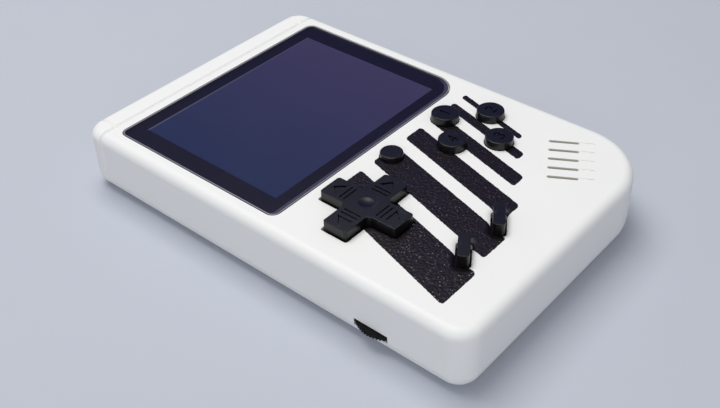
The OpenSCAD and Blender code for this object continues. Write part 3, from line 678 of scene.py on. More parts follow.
@cache
def slanted_bar_group() -> bpy.types.NodeTree:
    """Mask of one slanted bar with rounded corners, in millimetres on the face.

    Returns:
        The node group.
    """
    labels = ("Across", "Along", "Centre", "Half width", "Low", "High", "Corner", "Soft")
    graph, given, sink = new_tree("Slanted bar", "ShaderNodeTree", {label: Socket.NUMBER for label in labels},
                                  {"Mask": Socket.NUMBER})
    corner = given["Corner"]
    middle = (given["Low"] + given["High"]) * 0.5
    reach = (given["High"] - given["Low"]) * 0.5
    side = graph.math("ABSOLUTE", given["Across"] - given["Centre"]) - (given["Half width"] - corner)
    end = graph.math("ABSOLUTE", given["Along"] - middle) - (reach - corner)
    squares = [graph.math("POWER", graph.math("MAXIMUM", v, 0.0), 2.0) for v in (side, end)]
    outside = graph.math("SQRT", squares[0] + squares[1])
    inside = graph.math("MINIMUM", graph.math("MAXIMUM", side, end), 0.0)
    distance = outside + inside - corner
    graph.feed(sink, {"Mask": (0.5 - distance / given["Soft"]).clamped()})
    return graph.tree


# Finishes


@dataclass(frozen=True)
class Finish:
    """A procedural surface.

    Attributes:
        name: Name of the material.
        base: Base colour, linear.
        roughness: Middle roughness.
        metallic: Metallic value.
        grain_mm: Size of the fine grain.
        bump_mm: Height of the fine grain.
        mottle: Share by which the colour varies.
        spread: Range over which the roughness varies.
        dust: Amount of dust on faces that look up.
        coat: Weight of a clear coat.
        coat_roughness: Roughness of that coat.
        ior: Index of refraction.
        alpha: Opacity.
    """

    name: str
    base: Colour
    roughness: float
    metallic: float = 0.0
    grain_mm: float = 0.35
    bump_mm: float = 0.004
    mottle: float = 0.05
    spread: float = 0.1
    dust: float = 0.0
    coat: float = 0.0
    coat_roughness: float = 0.12
    ior: float = 1.5
    alpha: float = 1.0

    def material(self) -> bpy.types.Material:
        """Makes the material on first use.

        Returns:
            The material.
        """
        known = bpy.data.materials.get(self.name)
        if known is not None:
            return known
        made = bpy.data.materials.new(self.name)
        made.use_nodes = True
        graph = Graph(made.node_tree)
        place = graph.terms("ShaderNodeTexCoord")["Object"]
        colour, roughness, height = self.surface(graph, place)
        if self.dust > 0:
            feeds = {"Place": place, "Colour": colour, "Roughness": roughness, "Amount": self.dust}
            colour, roughness = graph.group(dust_group(), feeds)
        relief = {"Strength": 1.0, "Distance": self.bump_mm * MM, "Height": height}
        bump = graph.terms("ShaderNodeBump", relief)["Normal"]
        graph.feed(made.node_tree.nodes["Principled BSDF"], {
            "Base Color": colour, "Roughness": roughness, "Normal": bump, "Metallic": self.metallic,
            "Coat Weight": self.coat, "Coat Roughness": self.coat_roughness, "IOR": self.ior,
            "Alpha": self.alpha})
        return made

    def surface(self, graph: Graph, place: Term) -> list[Term]:
        """Colour, roughness and height at a place in metres, before any dust."""
        return self.grain(graph, place, (*self.base, 1.0))

    def grain(self, graph: Graph, place: Term, colour: Value) -> list[Term]:
        """Adds the shared grain with this finish's values.

        Args:
            graph: Graph of the material.
            place: Object coordinates.
            colour: Colour to vary.

        Returns:
            Colour, roughness and height.
        """
        feeds = {"Place": place, "Colour": colour, "Size mm": self.grain_mm, "Mottle": self.mottle,
                 "Roughness": self.roughness, "Spread": self.spread}
        return graph.group(grain_group(), feeds)


@dataclass(frozen=True)
class PrintedFinish(Finish):
    """White plastic with a print of slanted bars of falling width on the face; lengths in millimetres.

    Attributes:
        ink: Colour of the print.
        ink_roughness: Roughness of the print.
        pebble_mm: Size of the print's grain.
        pebble_bump_mm: Height of the print's grain.
        pebble_smooth: How far that grain's cells run into one another.
        glint_mm: Mean distance of the painted glints, pale specks that stand in for highlights on the print.
        glint_colour: Colour of the painted glints.
        glint_reach: Radius of a painted glint, as a share of that distance.
        glint_skip: Share of the painted glints left out.
        glint_fade_span: Values of x + y between which the painted glints thin out towards the upper right.
        glint_fade_ends: Strength of the painted glints at those values.
        bars: Centre, width, lower end and upper end of each bar.
        bar_y: Place along Y at which the centres are given.
        lean: Shift along X for each millimetre along Y.
        corner: Radius of the bars' corners.
        least_flat: Half of the straight end that the narrowest bar keeps.
        soft: Width over which the ink's edge fades.
        ragged: How far the ink's edge wanders.
        ragged_mm: Distance over which it wanders.
        face_z: Height below which nothing is printed.
        proud_z: Height below which the print is smooth and has no painted glints, as in the dishes of the
            bars.
        painted_slot_glow: Painted warm light on the walls inside the speaker slots, for light that shines
            through the plastic.
        slot_reach: Distance from the middle of the slots within which the painted warm light holds.
        slot_z: Height below which the painted warm light sets in.
        slot_fade: Depth over which it grows to the full.
    """

    ink: Colour = (0.005, 0.002, 0.004)
    ink_roughness: float = 0.42
    pebble_mm: float = 0.7
    pebble_bump_mm: float = 0.08
    pebble_smooth: float = 0.6
    glint_mm: float = 0.6
    glint_colour: Colour = (0.52, 0.48, 0.54)
    glint_reach: float = 0.27
    glint_skip: float = 0.3
    glint_fade_span: Point = (-75.0, -20.0)
    glint_fade_ends: Point = (1.0, 0.3)
    bars: tuple[tuple[float, float, float, float], ...] = (
        (-22.0, 12.0, -49.5, -7.5),
        (-7.3, 8.6, -48.0, -7.5),
        (4.0, 6.2, -44.0, -7.5),
        (12.9, 4.4, -39.0, -7.5),
        (20.0, 3.0, -34.0, -7.5),
        (25.4, 1.8, -29.5, -7.5),
    )
    bar_y: float = -28.0
    lean: float = 0.3
    corner: float = 1.0
    least_flat: float = 0.1
    soft: float = 0.08
    ragged: float = 0.35
    ragged_mm: float = 0.625
    face_z: float = 16.2
    proud_z: float = 16.97
    painted_slot_glow: Colour = (0.86, 0.79, 0.62)
    slot_reach: float = 9.8
    slot_z: float = 16.95
    slot_fade: float = 0.9

    def surface(self, graph: Graph, place: Term) -> list[Term]:
        """Puts the print on the plastic, with painted glints on it and painted warm light in the slots.

        Args:
            graph: Graph of the material.
            place: Object coordinates.

        Returns:
            Colour, roughness and height.
        """
        spot = graph.split(graph.scaled(place, PER_METRE))
        x, y, z = spot
        mask = self.print_mask(graph, place, x, y) * graph.math("GREATER_THAN", z, self.face_z)
        proud = graph.math("GREATER_THAN", z, self.proud_z)
        # Painted light: inside the speaker slots the white turns warm, for light that shines through the
        # plastic.
        white = graph.mix(self.slots(graph, spot), (*self.base, 1.0), (*self.painted_slot_glow, 1.0))
        plain, roughness, height = self.grain(graph, place, white)
        # Painted highlights: pale specks on the print stand in for glints on its grain; they are strongest at
        # the lower left.
        specks = self.painted_glints(graph, place) * proud * graph.ramp(x + y, self.glint_fade_span, self.glint_fade_ends)
        ink = graph.mix(specks, (*self.ink, 1.0), (*self.glint_colour, 1.0))
        pebbles = graph.cells(place, PER_METRE / self.pebble_mm, "SMOOTH_F1", Smoothness=self.pebble_smooth)
        hollow = pebbles["Distance"] * mask * proud
        return [graph.mix(mask, plain, ink), roughness + (self.ink_roughness - roughness) * mask,
                height - hollow * (self.pebble_bump_mm / self.bump_mm)]

    def print_mask(self, graph: Graph, place: Term, x: Term, y: Term) -> Term:
        """Mask of the slanted bars, with a ragged edge.

        Args:
            graph: Graph of the material.
            place: Object coordinates.
            x: Place along X in millimetres.
            y: Place along Y in millimetres.

        Returns:
            1 on the bars and 0 beside them.
        """
        ragged = (graph.noise(place, PER_METRE / self.ragged_mm) - 0.5) * self.ragged
        spot = {"Across": x - (y - self.bar_y) * self.lean + ragged, "Along": y + ragged, "Soft": self.soft}
        masks = []
        for centre, width, low, high in self.bars:
            corner = min(self.corner, width / 2 - self.least_flat)
            sizes = {"Centre": centre, "Half width": width / 2, "Low": low, "High": high, "Corner": corner}
            masks += graph.group(slanted_bar_group(), {**spot, **sizes})
        return reduce(lambda a, b: graph.math("MAXIMUM", a, b), masks)

    def slots(self, graph: Graph, spot: list[Term]) -> Term:
        """Mask of the painted warm light on the walls inside the speaker slots, for light shining through the
        plastic.

        Args:
            graph: Graph of the material.
            spot: Place along X, Y and Z in millimetres.

        Returns:
            1 deep in the slots and 0 outside them.
        """
        across, along = (part - middle for part, middle in zip(spot, SPEAKER.centre))
        close = graph.math("LESS_THAN", across * across + along * along, self.slot_reach ** 2)
        return close * ((self.slot_z - spot[2]) / self.slot_fade).clamped()

    def painted_glints(self, graph: Graph, place: Term) -> Term:
        """Mask of the painted glints, pale specks for highlights on the print's grain; only some are kept.

        Args:
            graph: Graph of the material.
            place: Object coordinates.

        Returns:
            Strength of the painted glint at the place.
        """
        cells = graph.cells(place, PER_METRE / self.glint_mm, "F1")
        near = (1.0 - cells["Distance"] / self.glint_reach).clamped()
        chance = graph.terms("ShaderNodeSeparateColor", {0: cells["Color"]})
        kept = graph.math("GREATER_THAN", chance["Red"], self.glint_skip)
        return (near * kept * chance["Green"]).clamped()


@dataclass(frozen=True)
class PaintedReflectionDisplay(Finish):
    """Dark display with a painted reflection, a slow change of colour from side to side; lengths in
    millimetres.

    Attributes:
        right: Colour of the painted reflection at the right side.
        half_w: Half of the width over which the colour changes.
        line: Colour of the painted highlight line along the far edge.
        highlight_y: Place of that painted highlight.
        line_half: Half of its width.
        highlight_fade: Share of it that is lost at the right side.
    """

    right: Colour = (0.05, 0.04, 0.1)
    half_w: float = 31.0
    line: Colour = (0.16, 0.16, 0.24)
    highlight_y: float = 46.05
    line_half: float = 0.5
    highlight_fade: float = 0.8

    def surface(self, graph: Graph, place: Term) -> list[Term]:
        """Puts the grain on the painted reflection and its painted highlight line.

        Args:
            graph: Graph of the material.
            place: Object coordinates.

        Returns:
            Colour, roughness and height.
        """
        x, y, _ = graph.split(place)
        slide = (x * (0.5 / (self.half_w * MM)) + 0.5).clamped()
        # Painted reflection: the colour slides from the display's dark blue at the left to purple at the
        # right.
        reflection_hue = graph.mix(slide, (*self.base, 1.0), (*self.right, 1.0))
        # Painted highlight: a faint pale line along the far edge, weaker towards the right.
        away = graph.math("ABSOLUTE", y - self.highlight_y * MM)
        near = (2.0 - away / (self.line_half / 2 * MM)).clamped()
        highlight_strength = near * (1.0 - slide * self.highlight_fade)
        return self.grain(graph, place, graph.mix(highlight_strength, reflection_hue, (*self.line, 1.0)))


class Finishes:
    """The finishes of the console."""

    # The print carries painted glints, and the walls inside the speaker slots carry painted warm light.
    PRINTED = PrintedFinish("Printed white plastic", (0.86, 0.86, 0.85), 0.46, grain_mm=0.32, bump_mm=0.006,
                            mottle=0.02, ior=1.36)
    WHITE = Finish("White plastic", (0.86, 0.86, 0.85), 0.46, grain_mm=0.32, bump_mm=0.006, mottle=0.02)
    BLACK = Finish("Black control plastic", (0.003, 0.003, 0.004), 0.36, grain_mm=0.2, bump_mm=0.002,
                   dust=0.03, ior=1.46)
    WHEEL = Finish("Black wheel plastic", (0.002, 0.002, 0.003), 0.5, grain_mm=0.2, bump_mm=0.002, ior=1.3)
    LENS = Finish("Clear lens", (0.01, 0.01, 0.014), 0.07, bump_mm=0.0001, mottle=0.01, spread=0.02,
                  alpha=0.16)
    # Painted highlight: a pale grey on the lens's cut edge that stands for light caught by it.
    PAINTED_EDGE_HIGHLIGHT = Finish("Lens cut edge, painted highlight", (0.3, 0.3, 0.35), 0.3)
    # Painted shade: a dim lavender that stands for the white under the lens's clear rim, seen in shade.
    PAINTED_RIM_SHADE = Finish("Lens rim band, painted shade", (0.095, 0.086, 0.14), 0.4, mottle=0.5)
    BORDER = Finish("Printed border", (0.008, 0.006, 0.018), 0.35, mottle=0.04)
    # Painted reflection: dark display colour shifting from blue to purple, with a painted highlight line
    # along the far edge.
    DISPLAY = PaintedReflectionDisplay("Dark display", (0.03, 0.048, 0.14), 0.3, right=(0.09, 0.074, 0.18), mottle=0.02)
    IVORY = Finish("Ivory plastic", (0.75, 0.71, 0.6), 0.5)
    STEEL = Finish("Stamped steel", (0.62, 0.62, 0.64), 0.32, metallic=1.0)
    SCREW = Finish("Plated screw", (0.5, 0.5, 0.52), 0.3, metallic=1.0)
    FOAM = Finish("Dark foam", (0.03, 0.03, 0.033), 0.95, grain_mm=0.5, bump_mm=0.08)
    AMBER = Finish("Amber film", (0.5, 0.22, 0.04), 0.3, coat=0.3)
    BOARD = Finish("Green board", (0.012, 0.1, 0.03), 0.35, grain_mm=1.2, bump_mm=0.01, coat=0.4)
    MOULD = Finish("Black moulding", (0.015, 0.015, 0.017), 0.55)
    SLEEVE = Finish("Blue sleeve", (0.02, 0.03, 0.1), 0.3, coat=0.3)
    SILICONE = Finish("Grey silicone", (0.2, 0.2, 0.21), 0.7)
    PAPER = Finish("Coated paper", (0.02, 0.02, 0.02), 0.8, grain_mm=0.25, bump_mm=0.02)
    MAGNET = Finish("Plated magnet", (0.3, 0.3, 0.31), 0.35, metallic=1.0)
    LEAD = Finish("Red lead", (0.4, 0.02, 0.02), 0.45)
    BROWN = Finish("Brown moulding", (0.12, 0.06, 0.025), 0.5)
    WRAP = Finish("Battery wrap", (0.1, 0.17, 0.28), 0.35, coat=0.2)
    GOLD = Finish("Plated contact", (0.8, 0.56, 0.2), 0.3, metallic=1.0)
    FLOOR = Finish("Pale floor", (0.5, 0.53, 0.6), 0.75, grain_mm=1.5, mottle=0.02)


def dress(obj: bpy.types.Object, finish: Finish) -> None:
    """Gives an object one finish on all its faces.

    Args:
        obj: Object to dress.
        finish: Its finish.
    """
    obj.data.materials.clear()
    obj.data.materials.append(finish.material())
    for face in obj.data.polygons:
        face.material_index = 0


# Sizes and places that the sub-assemblies share

FRONT = PackedBox("front_shell")
REAR = PackedBox("rear_shell")
LENS = PackedBox("screen_lens")
BORDER = PackedBox("lens_border")
PAD = PackedBox("direction_pad")
BUTTON = PackedBox("top_button")
RESET = PackedBox("reset_button")
SELECT = PackedBox("select_bar")
START = PackedBox("start_bar")
CONE = PackedBox("speaker_frame")
WHEEL = PackedBox("volume_wheel")
SLIDER = PackedBox("switch_slider")
JACK = PackedBox("av_jack")
PORT = PackedBox("charge_port")
LID = PackedBox("battery_door")
CELL = PackedBox("battery")
BOLTS = PackedBox("shell_screws")


@dataclass(frozen=True)
class CaseSizes:
    """Outer sizes of the case, its walls and the gap round what is set in it."""

    width: float = FRONT.size.x
    length: float = FRONT.size.y
    depth: float = FRONT.high.z
    seam: float = FRONT.low.z
    corner: float = 5.5
    speaker_corner: float = 18.0
    corner_steps: tuple[int, ...] = (14, 44, 14, 14)
    least_corner: float = 0.3
    face_fillet: float = 2.5
    back_fillet: float = 4.5
    lip: float = 0.08
    wall: float = 2.0
    face: float = 2.0
    back: float = 2.0
    gap: float = 0.3

    @property
    def half_w(self) -> float:
        """Half of the width."""
        return self.width / 2

    @property
    def half_l(self) -> float:
        """Half of the length."""
        return self.length / 2

    @property
    def inner(self) -> float:
        """Height of the underside of the face."""
        return self.depth - self.face

    def ring(self, inset: float, z: float) -> Ring:
        """Outline of the case.

        Args:
            inset: How far it lies inside the outer wall.
            z: Its height.

        Returns:
            The ring.
        """
        corners = (self.corner, self.speaker_corner, self.corner, self.corner)
        radii = tuple(max(r - inset, self.least_corner) for r in corners)
        points = rounded(self.width - 2 * inset, self.length - 2 * inset, radii, self.corner_steps)
        return level(points, z)


@dataclass(frozen=True)
class ControlSizes:
    """Places and sizes of the controls on the face; heights are over the face."""

    pad_flange: float = 1.2
    pad: Point = (PAD.middle.x, PAD.middle.y)
    pad_span: float = to_micron(PAD.size.x - 2 * pad_flange)
    pad_arm: float = 6.8
    pad_height: float = to_micron(PAD.high.z - FRONT.high.z)
    pad_inner_r: float = 1.2
    pad_play: float = 0.4
    pad_hole_tip_r: float = 0.6
    pad_hole_inner_r: float = 1.35
    pivot_z: float = PAD.low.z
    key_flange: float = 1.1
    key_flange_thick: float = 1.0
    plunger_r: float = 2.0
    plunger_reach: float = 0.6
    buttons: Point = (20.0, -18.2)
    pitch: float = 8.2
    button_r: float = 3.6
    button_height: float = to_micron(BUTTON.high.z - FRONT.high.z)
    reset: Point = (RESET.middle.x, RESET.middle.y)
    reset_r: float = to_micron(RESET.size.x / 2 - key_flange)
    reset_height: float = to_micron(RESET.high.z - FRONT.high.z)
    bars: tuple[Point, Point] = ((SELECT.middle.x, SELECT.middle.y), (START.middle.x, START.middle.y))
    bar_length: float = 8.0
    bar_width: float = 2.8
    bar_height: float = to_micron(SELECT.high.z - FRONT.high.z)
    bar_corner: float = 0.9
    bar_least_corner: float = 0.45
    bar_gap: float = 0.42
    bar_angle: float = 33.0
    dish_length: float = 12.6
    dish_width: float = 6.4
    dish_depth: float = 0.4
    slip: float = 0.12
    rim: float = 0.07

    @property
    def flange_top(self) -> float:
        """Height of the upper side of the keys' flanges."""
        return CASE.inner - CASE.gap

    @property
    def flange_low(self) -> float:
        """Height of the lower side of the keys' flanges."""
        return self.flange_top - self.key_flange_thick

    @property
    def plunger_low(self) -> float:
        """Height of the lower end of the keys' plungers."""
        return self.flange_low - self.plunger_reach

    def button_place(self, arm: Arm) -> Point:
        """Centre of the face button in a direction."""
        turn = math.radians(arm.value)
        return self.buttons[0] + self.pitch * math.cos(turn), self.buttons[1] + self.pitch * math.sin(turn)

    def pad_hole(self, out: float) -> list[Point]:
        """Outline of the pad's hole.

        Args:
            out: How much it is grown.

        Returns:
            The outline's points.
        """
        play = 2 * (self.pad_play + out)
        hole = cross(self.pad_span + play, self.pad_arm + play, self.pad_hole_tip_r + out,
                     self.pad_hole_inner_r - out)
        return moved(hole, *self.pad)

    def bar_outline(self, place: Point, out: float, steps: int) -> list[Point]:
        """Outline of a bar.

        Args:
            place: Its centre.
            out: How much it is grown.
            steps: Chords of each corner.

        Returns:
            The outline's points.
        """
        corner = max(self.bar_corner + out, self.bar_least_corner)
        bar = even(self.bar_length + 2 * out, self.bar_width + 2 * out, corner, steps)
        return moved(bar, *place, self.bar_angle)


@dataclass(frozen=True)
class ScreenSizes:
    """Sizes of the lens, its pocket, the dark print and the picture."""

    centre: Point = (LENS.middle.x, LENS.middle.y)
    width: float = LENS.size.x
    length: float = LENS.size.y
    corner: float = 2.0
    big_corner: float = 7.0
    corner_steps: tuple[int, ...] = (8, 16, 8, 8)
    bottom_z: float = LENS.low.z
    top_z: float = LENS.high.z
    pocket_z: float = BORDER.low.z
    ledge: float = 3.75
    fill: float = -0.1
    print_centre: Point = (0.02, 23.9)
    print_width: float = 69.96
    print_length: float = 51.7
    print_inset: float = 0.5
    print_z: float = 16.6
    picture_centre: Point = (0.0, 23.75)
    picture_width: float = 59.9
    picture_length: float = 45.0
    picture_corner: float = 0.2
    film: float = 0.1

    def radii(self, out: float) -> tuple[float, ...]:
        """Corner radii of the lens, grown by out."""
        return tuple(r + out for r in (self.corner, self.big_corner, self.corner, self.corner))

    def outline(self, out: float) -> list[Point]:
        """Outline of the lens, grown by out."""
        size = (self.width + 2 * out, self.length + 2 * out)
        return moved(rounded(*size, self.radii(out), self.corner_steps), *self.centre)

    def print_outline(self, out: float) -> list[Point]:
        """Outline of the dark print.

        Args:
            out: How much it is grown.

        Returns:
            The outline's points.
        """
        size = (self.print_width + 2 * out, self.print_length + 2 * out)
        radii = self.radii(out - self.print_inset)
        return moved(rounded(*size, radii, self.corner_steps), *self.print_centre)

    def picture_outline(self, out: float) -> list[Point]:
        """Outline of the picture, grown by out."""
        size = (self.picture_width + 2 * out, self.picture_length + 2 * out)
        return moved(even(*size, self.picture_corner, 3), *self.picture_centre)


@dataclass(frozen=True)
class SpeakerSizes:
    """Places and sizes of the speaker slots."""

    centre: Point = (CONE.middle.x, CONE.middle.y)
    count: int = 5
    pitch: float = 3.64
    width: float = 0.9
    open_length: float = 7.3
    length: float = 11.0
    tail_depth: float = 0.25
    tail_start: float = 0.01
    tail_overlap: float = 1.2
    undercut: float = 0.4
    rim: float = 0.1
    angle: float = -60.0

    def slot(self, length: float, out: float) -> list[Point]:
        """Outline of a slot of some length, grown by out."""
        return even(length + 2 * out, self.width + 2 * out, self.width / 2 + out - FLAT, 6)


@dataclass(frozen=True)
class SideSizes:
    """Places and sizes of what is in the walls."""

    wheel: Point = (WHEEL.middle.x, WHEEL.middle.y)
    wheel_r: float = WHEEL.size.x / 2
    wheel_low: float = WHEEL.low.z
    wheel_high: float = WHEEL.high.z
    knob_foot: float = 1.2
    knob_y: float = SLIDER.middle.y
    knob_length: float = to_micron(SLIDER.size.y - 2 * knob_foot)
    knob_thick: float = SLIDER.size.z
    knob_z: float = SLIDER.middle.z
    knob_root: float = SLIDER.low.x
    knob_tip: float = SLIDER.high.x
    knob_travel: float = 3.5
    recess: float = 0.6
    recess_end: float = 1.5
    recess_side: float = 1.0
    jack: Point = (JACK.middle.x, JACK.middle.z)
    jack_nose: float = JACK.size.x / 2
    jack_depth: float = 4.2
    port: Point = (PORT.middle.x, PORT.middle.z)
    port_width: float = PORT.size.x
    port_height: float = PORT.size.z


@dataclass(frozen=True)
class DoorSizes:
    """Sizes of the battery door and the bay."""

    hook_reach: float = 1.3
    width: float = LID.size.x
    low_y: float = to_micron(LID.low.y + hook_reach)
    high_y: float = LID.high.y
    bottom_z: float = LID.low.z
    top_z: float = 1.7
    hook_z: float = LID.high.z
    corner: float = 1.5
    cell_gap: float = 0.3
    bay_half: float = to_micron(CELL.high.x + cell_gap)
    bay_low: float = to_micron(CELL.low.y - cell_gap)
    bay_high: float = to_micron(CELL.high.y + cell_gap)
    bay_top: float = 7.7
    bay_wall: float = 1.2
    bay_lid: float = REAR.high.z
    seat_over: float = 2.2
    tab_x: float = 11.0
    tab_width: float = 6.0
    tongue_half: float = 4.0

    def outline(self, out: float) -> list[Point]:
        """Outline of the door, grown by out."""
        size = (self.width + 2 * out, self.high_y - self.low_y + 2 * out)
        return moved(even(*size, self.corner + out), 0, (self.low_y + self.high_y) / 2)


@dataclass(frozen=True)
class ScrewSizes:
    """Places and sizes of the screws that hold the shells together."""

    places: tuple[Point, ...] = ((-34.2, 53.95), (34.2, 53.95), (-34.2, -53.95), (12.0, -53.95),
                                 (34.2, -28.0))
    head_low: float = BOLTS.low.z
    head_high: float = 2.7
    head_r: float = 1.8
    shank_r: float = 0.9
    tip: float = BOLTS.high.z


CASE = CaseSizes()
CONTROLS = ControlSizes()
SCREEN = ScreenSizes()
SPEAKER = SpeakerSizes()
SIDES = SideSizes()
DOOR = DoorSizes()
SCREWS = ScrewSizes()


# Sub-assemblies


class SubAssembly:
    """A group of pieces that is built and dressed together."""

    def place(self, obj: bpy.types.Object, body: str, finish: Finish, slot: str,
              *nodes: str) -> bpy.types.Object:
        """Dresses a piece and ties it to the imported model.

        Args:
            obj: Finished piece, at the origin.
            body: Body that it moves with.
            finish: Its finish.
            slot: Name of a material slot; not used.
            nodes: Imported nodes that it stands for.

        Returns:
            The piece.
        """
        dress(obj, finish)
        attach(obj, body)
        if nodes:
            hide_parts(*nodes)
        count, stands = len(obj.data.polygons), ", ".join(nodes) or "nothing"
        LOG.info("%s: %d faces, stands for %s", obj.name, count, stands)
        return obj

    def build(self) -> None:
        """Makes the pieces."""
        raise NotImplementedError


@dataclass(frozen=True)
class FrontShell(SubAssembly):
    """Front half of the case with its holes, grooves and slots.

    Attributes:
        edge_steps: Chords of the rounded edge of the face.
        pocket_rim: Radius of the rim of the lens's pocket.
        window_corner: Corner radius of the window behind the lens.
        dish_sides: Inset and depth of the rings of a bar's dish, from above the face to its floor.
        dish_steps: Chords of each corner of a dish.
        hole_steps: Chords of each corner of a bar's hole.
        groove_width: Width of a groove at the surface.
        groove_depth: Depth of a groove.
        groove_rise: How far the cutter of a groove stands over the surface.
        groove_y: Place of the groove across the face.
        groove_x: Distance of the two end grooves from the middle.
        groove_foot: Height at which the grooves stop on the walls.
    """

    edge_steps: int = 12
    pocket_rim: float = 0.08
    window_corner: float = 1.0
    dish_sides: tuple[Point, ...] = ((0.0, -0.6), (0.0, 0.0), (0.3, 0.012), (0.6, 0.05), (0.9, 0.12),
                                     (1.15, 0.22), (1.35, 0.34), (1.5, CONTROLS.dish_depth))
    dish_steps: int = 14
    hole_steps: int = 8
    groove_width: float = 1.0
    groove_depth: float = 0.55
    groove_rise: float = 0.5
    groove_y: float = 52.95
    groove_x: float = 34.5
    groove_foot: float = 6.8

    def build(self) -> None:
        """Makes the shell and cuts it."""
        shell = self.slab()
        self.cut_screen(shell)
        self.cut_dishes(shell)
        self.cut_holes(shell)
        self.cut_slots(shell)
        self.cut_grooves(shell)
        self.cut_walls(shell)
        smooth(shell)
        self.place(shell, ROOT, Finishes.PRINTED, "case_white", "front_shell")

    def slab(self) -> bpy.types.Object:
        """Makes the hollow slab with its rounded upper edge.

        Returns:
            The slab.
        """
        rings = [CASE.ring(CASE.wall, CASE.inner), CASE.ring(CASE.wall, CASE.seam),
                 CASE.ring(CASE.lip, CASE.seam), CASE.ring(0.0, CASE.seam + CASE.lip)]
        radius = CASE.face_fillet
        edge = arc((radius, CASE.depth - radius), radius, 180, 90, self.edge_steps)
        rings += [CASE.ring(inset, z) for inset, z in edge]
        return Draft("shell_front").loft(rings).build()

    def cut_screen(self, shell: bpy.types.Object) -> None:
        """Cuts the pocket of the lens and the window behind it.

        Args:
            shell: Shell to cut.
        """
        s, rim = SCREEN, self.pocket_rim
        pocket = flared(s.outline(CASE.gap), s.outline(CASE.gap + rim), s.pocket_z, CASE.depth, rim)
        carve(shell, Draft("pocket").loft(pocket))
        window = even(s.width - 2 * s.ledge, s.length - 2 * s.ledge, self.window_corner)
        room = Draft("window").prism(moved(window, *s.centre), CASE.inner - PAST, s.pocket_z + PAST / 2)
        carve(shell, room)

    def cut_dishes(self, shell: bpy.types.Object) -> None:
        """Cuts the dishes of the bars.

        Args:
            shell: Shell to cut.
        """
        c = CONTROLS
        dishes = Draft("dishes")
        for place in c.bars:
            rings = []
            for inset, depth in reversed(self.dish_sides):
                length, width = c.dish_length - 2 * inset, c.dish_width - 2 * inset
                dish = even(length, width, width / 2 - FLAT, self.dish_steps)
                rings.append(level(moved(dish, *place, c.bar_angle), CASE.depth - depth))
            dishes.loft(rings)
        carve(shell, dishes)

    def cut_holes(self, shell: bpy.types.Object) -> None:
        """Cuts the holes of the controls.

        Args:
            shell: Shell to cut.
        """
        c, rim, top, low = CONTROLS, CONTROLS.rim, CASE.depth, CASE.inner - PAST
        holes = Draft("holes")
        holes.loft(flared(c.pad_hole(0.0), c.pad_hole(rim), low, top, rim))
        rounds = [(c.button_place(arm), c.button_r) for arm in Arm] + [(c.reset, c.reset_r)]
        for place, radius in rounds:
            hole, grown = (moved(circle(radius + c.slip + out), *place) for out in (0.0, rim))
            holes.loft(flared(hole, grown, low, top, rim))
        for place in c.bars:
            hole, grown = (c.bar_outline(place, c.bar_gap + out, self.hole_steps) for out in (0.0, rim))
            holes.loft(flared(hole, grown, low, top - c.dish_depth, rim))
        carve(shell, holes)

    def cut_slots(self, shell: bpy.types.Object) -> None:
        """Cuts the speaker slots: open over the speaker, with a shallow tail.

        Args:
            shell: Shell to cut.
        """
        s, low = SPEAKER, CASE.inner - PAST
        turn = math.radians(s.angle)
        across = (-math.sin(turn), math.cos(turn))
        length = s.length - s.open_length + s.tail_overlap
        start = s.open_length / 2 - s.tail_overlap
        tail = moved(s.slot(length, 0.0), start + length / 2, 0)
        floor = [CASE.depth - s.tail_depth * (a - start) / length - s.tail_start for a, _ in tail]
        opened, tails = Draft("open_slots"), Draft("tails")
        for i in range(s.count):
            step = s.pitch * (i - (s.count - 1) / 2)
            spot = (s.centre[0] + across[0] * step, s.centre[1] + across[1] * step, s.angle)
            outs = (0.0, s.rim, s.undercut)
            slot, grown, under = (moved(s.slot(s.open_length, out), *spot) for out in outs)
            rings = flared(slot, grown, low, CASE.depth, s.rim)
            rings[0] = level(under, low)
            opened.loft(rings)
            there = moved(tail, *spot)
            tails.loft([[(*p, z) for p, z in zip(there, floor)], level(there, CASE.depth + PAST)])
        carve(shell, tails)
        carve(shell, opened)

    def groove(self, name: str, path: list[tuple[Vector, Vector]], side: Vector) -> Draft:
        """V groove along a path.

        Args:
            name: Name of the cutter.
            path: Points on the surface, each with the outward direction.
            side: Direction across the groove.

        Returns:
            The cutter.
        """
        rise = self.groove_rise
        half = self.groove_width / 2 * (1 + rise / self.groove_depth)
        rings = []
        for point, out in path:
            corners = (point - out * self.groove_depth, point + out * rise + side * half,
                       point + out * rise - side * half)
            rings.append([tuple(c) for c in corners])
        return Draft(name).loft(rings)

    def edge_path(self, reach: float, start: float) -> list[tuple[float, float, float, float]]:
        """Path over the edge of the face and down the wall, in one upright plane.

        Args:
            reach: Place of the wall.
            start: Place on the face at which the path begins.

        Returns:
            Place, height, and the outward direction's two parts at each point.
        """
        radius = CASE.face_fillet
        path = [(start, CASE.depth, 0.0, 1.0)]
        for out, up in arc((0, 0), 1, 90, 0, self.edge_steps):
            path.append((reach - radius + radius * out, CASE.depth - radius + radius * up, out, up))
        path.append((reach, self.groove_foot, 1.0, 0.0))
        return path

    def cut_grooves(self, shell: bpy.types.Object) -> None:
        """Cuts the grooves of the top strip.

        Args:
            shell: Shell to cut.
        """
        half = self.edge_path(CASE.half_w, 0.0)
        whole = [(-a, z, -out, up) for a, z, out, up in reversed(half)] + half[1:]
        path = [(Vector((a, self.groove_y, z)), Vector((out, 0, up))) for a, z, out, up in whole]
        carve(shell, self.groove("strip", path, Vector((0, 1, 0))))
        end = self.edge_path(CASE.half_l, self.groove_y)
        for x in (-self.groove_x, self.groove_x):
            path = [(Vector((x, a, z)), Vector((0, out, up))) for a, z, out, up in end]
            carve(shell, self.groove("strip_end", path, Vector((1, 0, 0))))

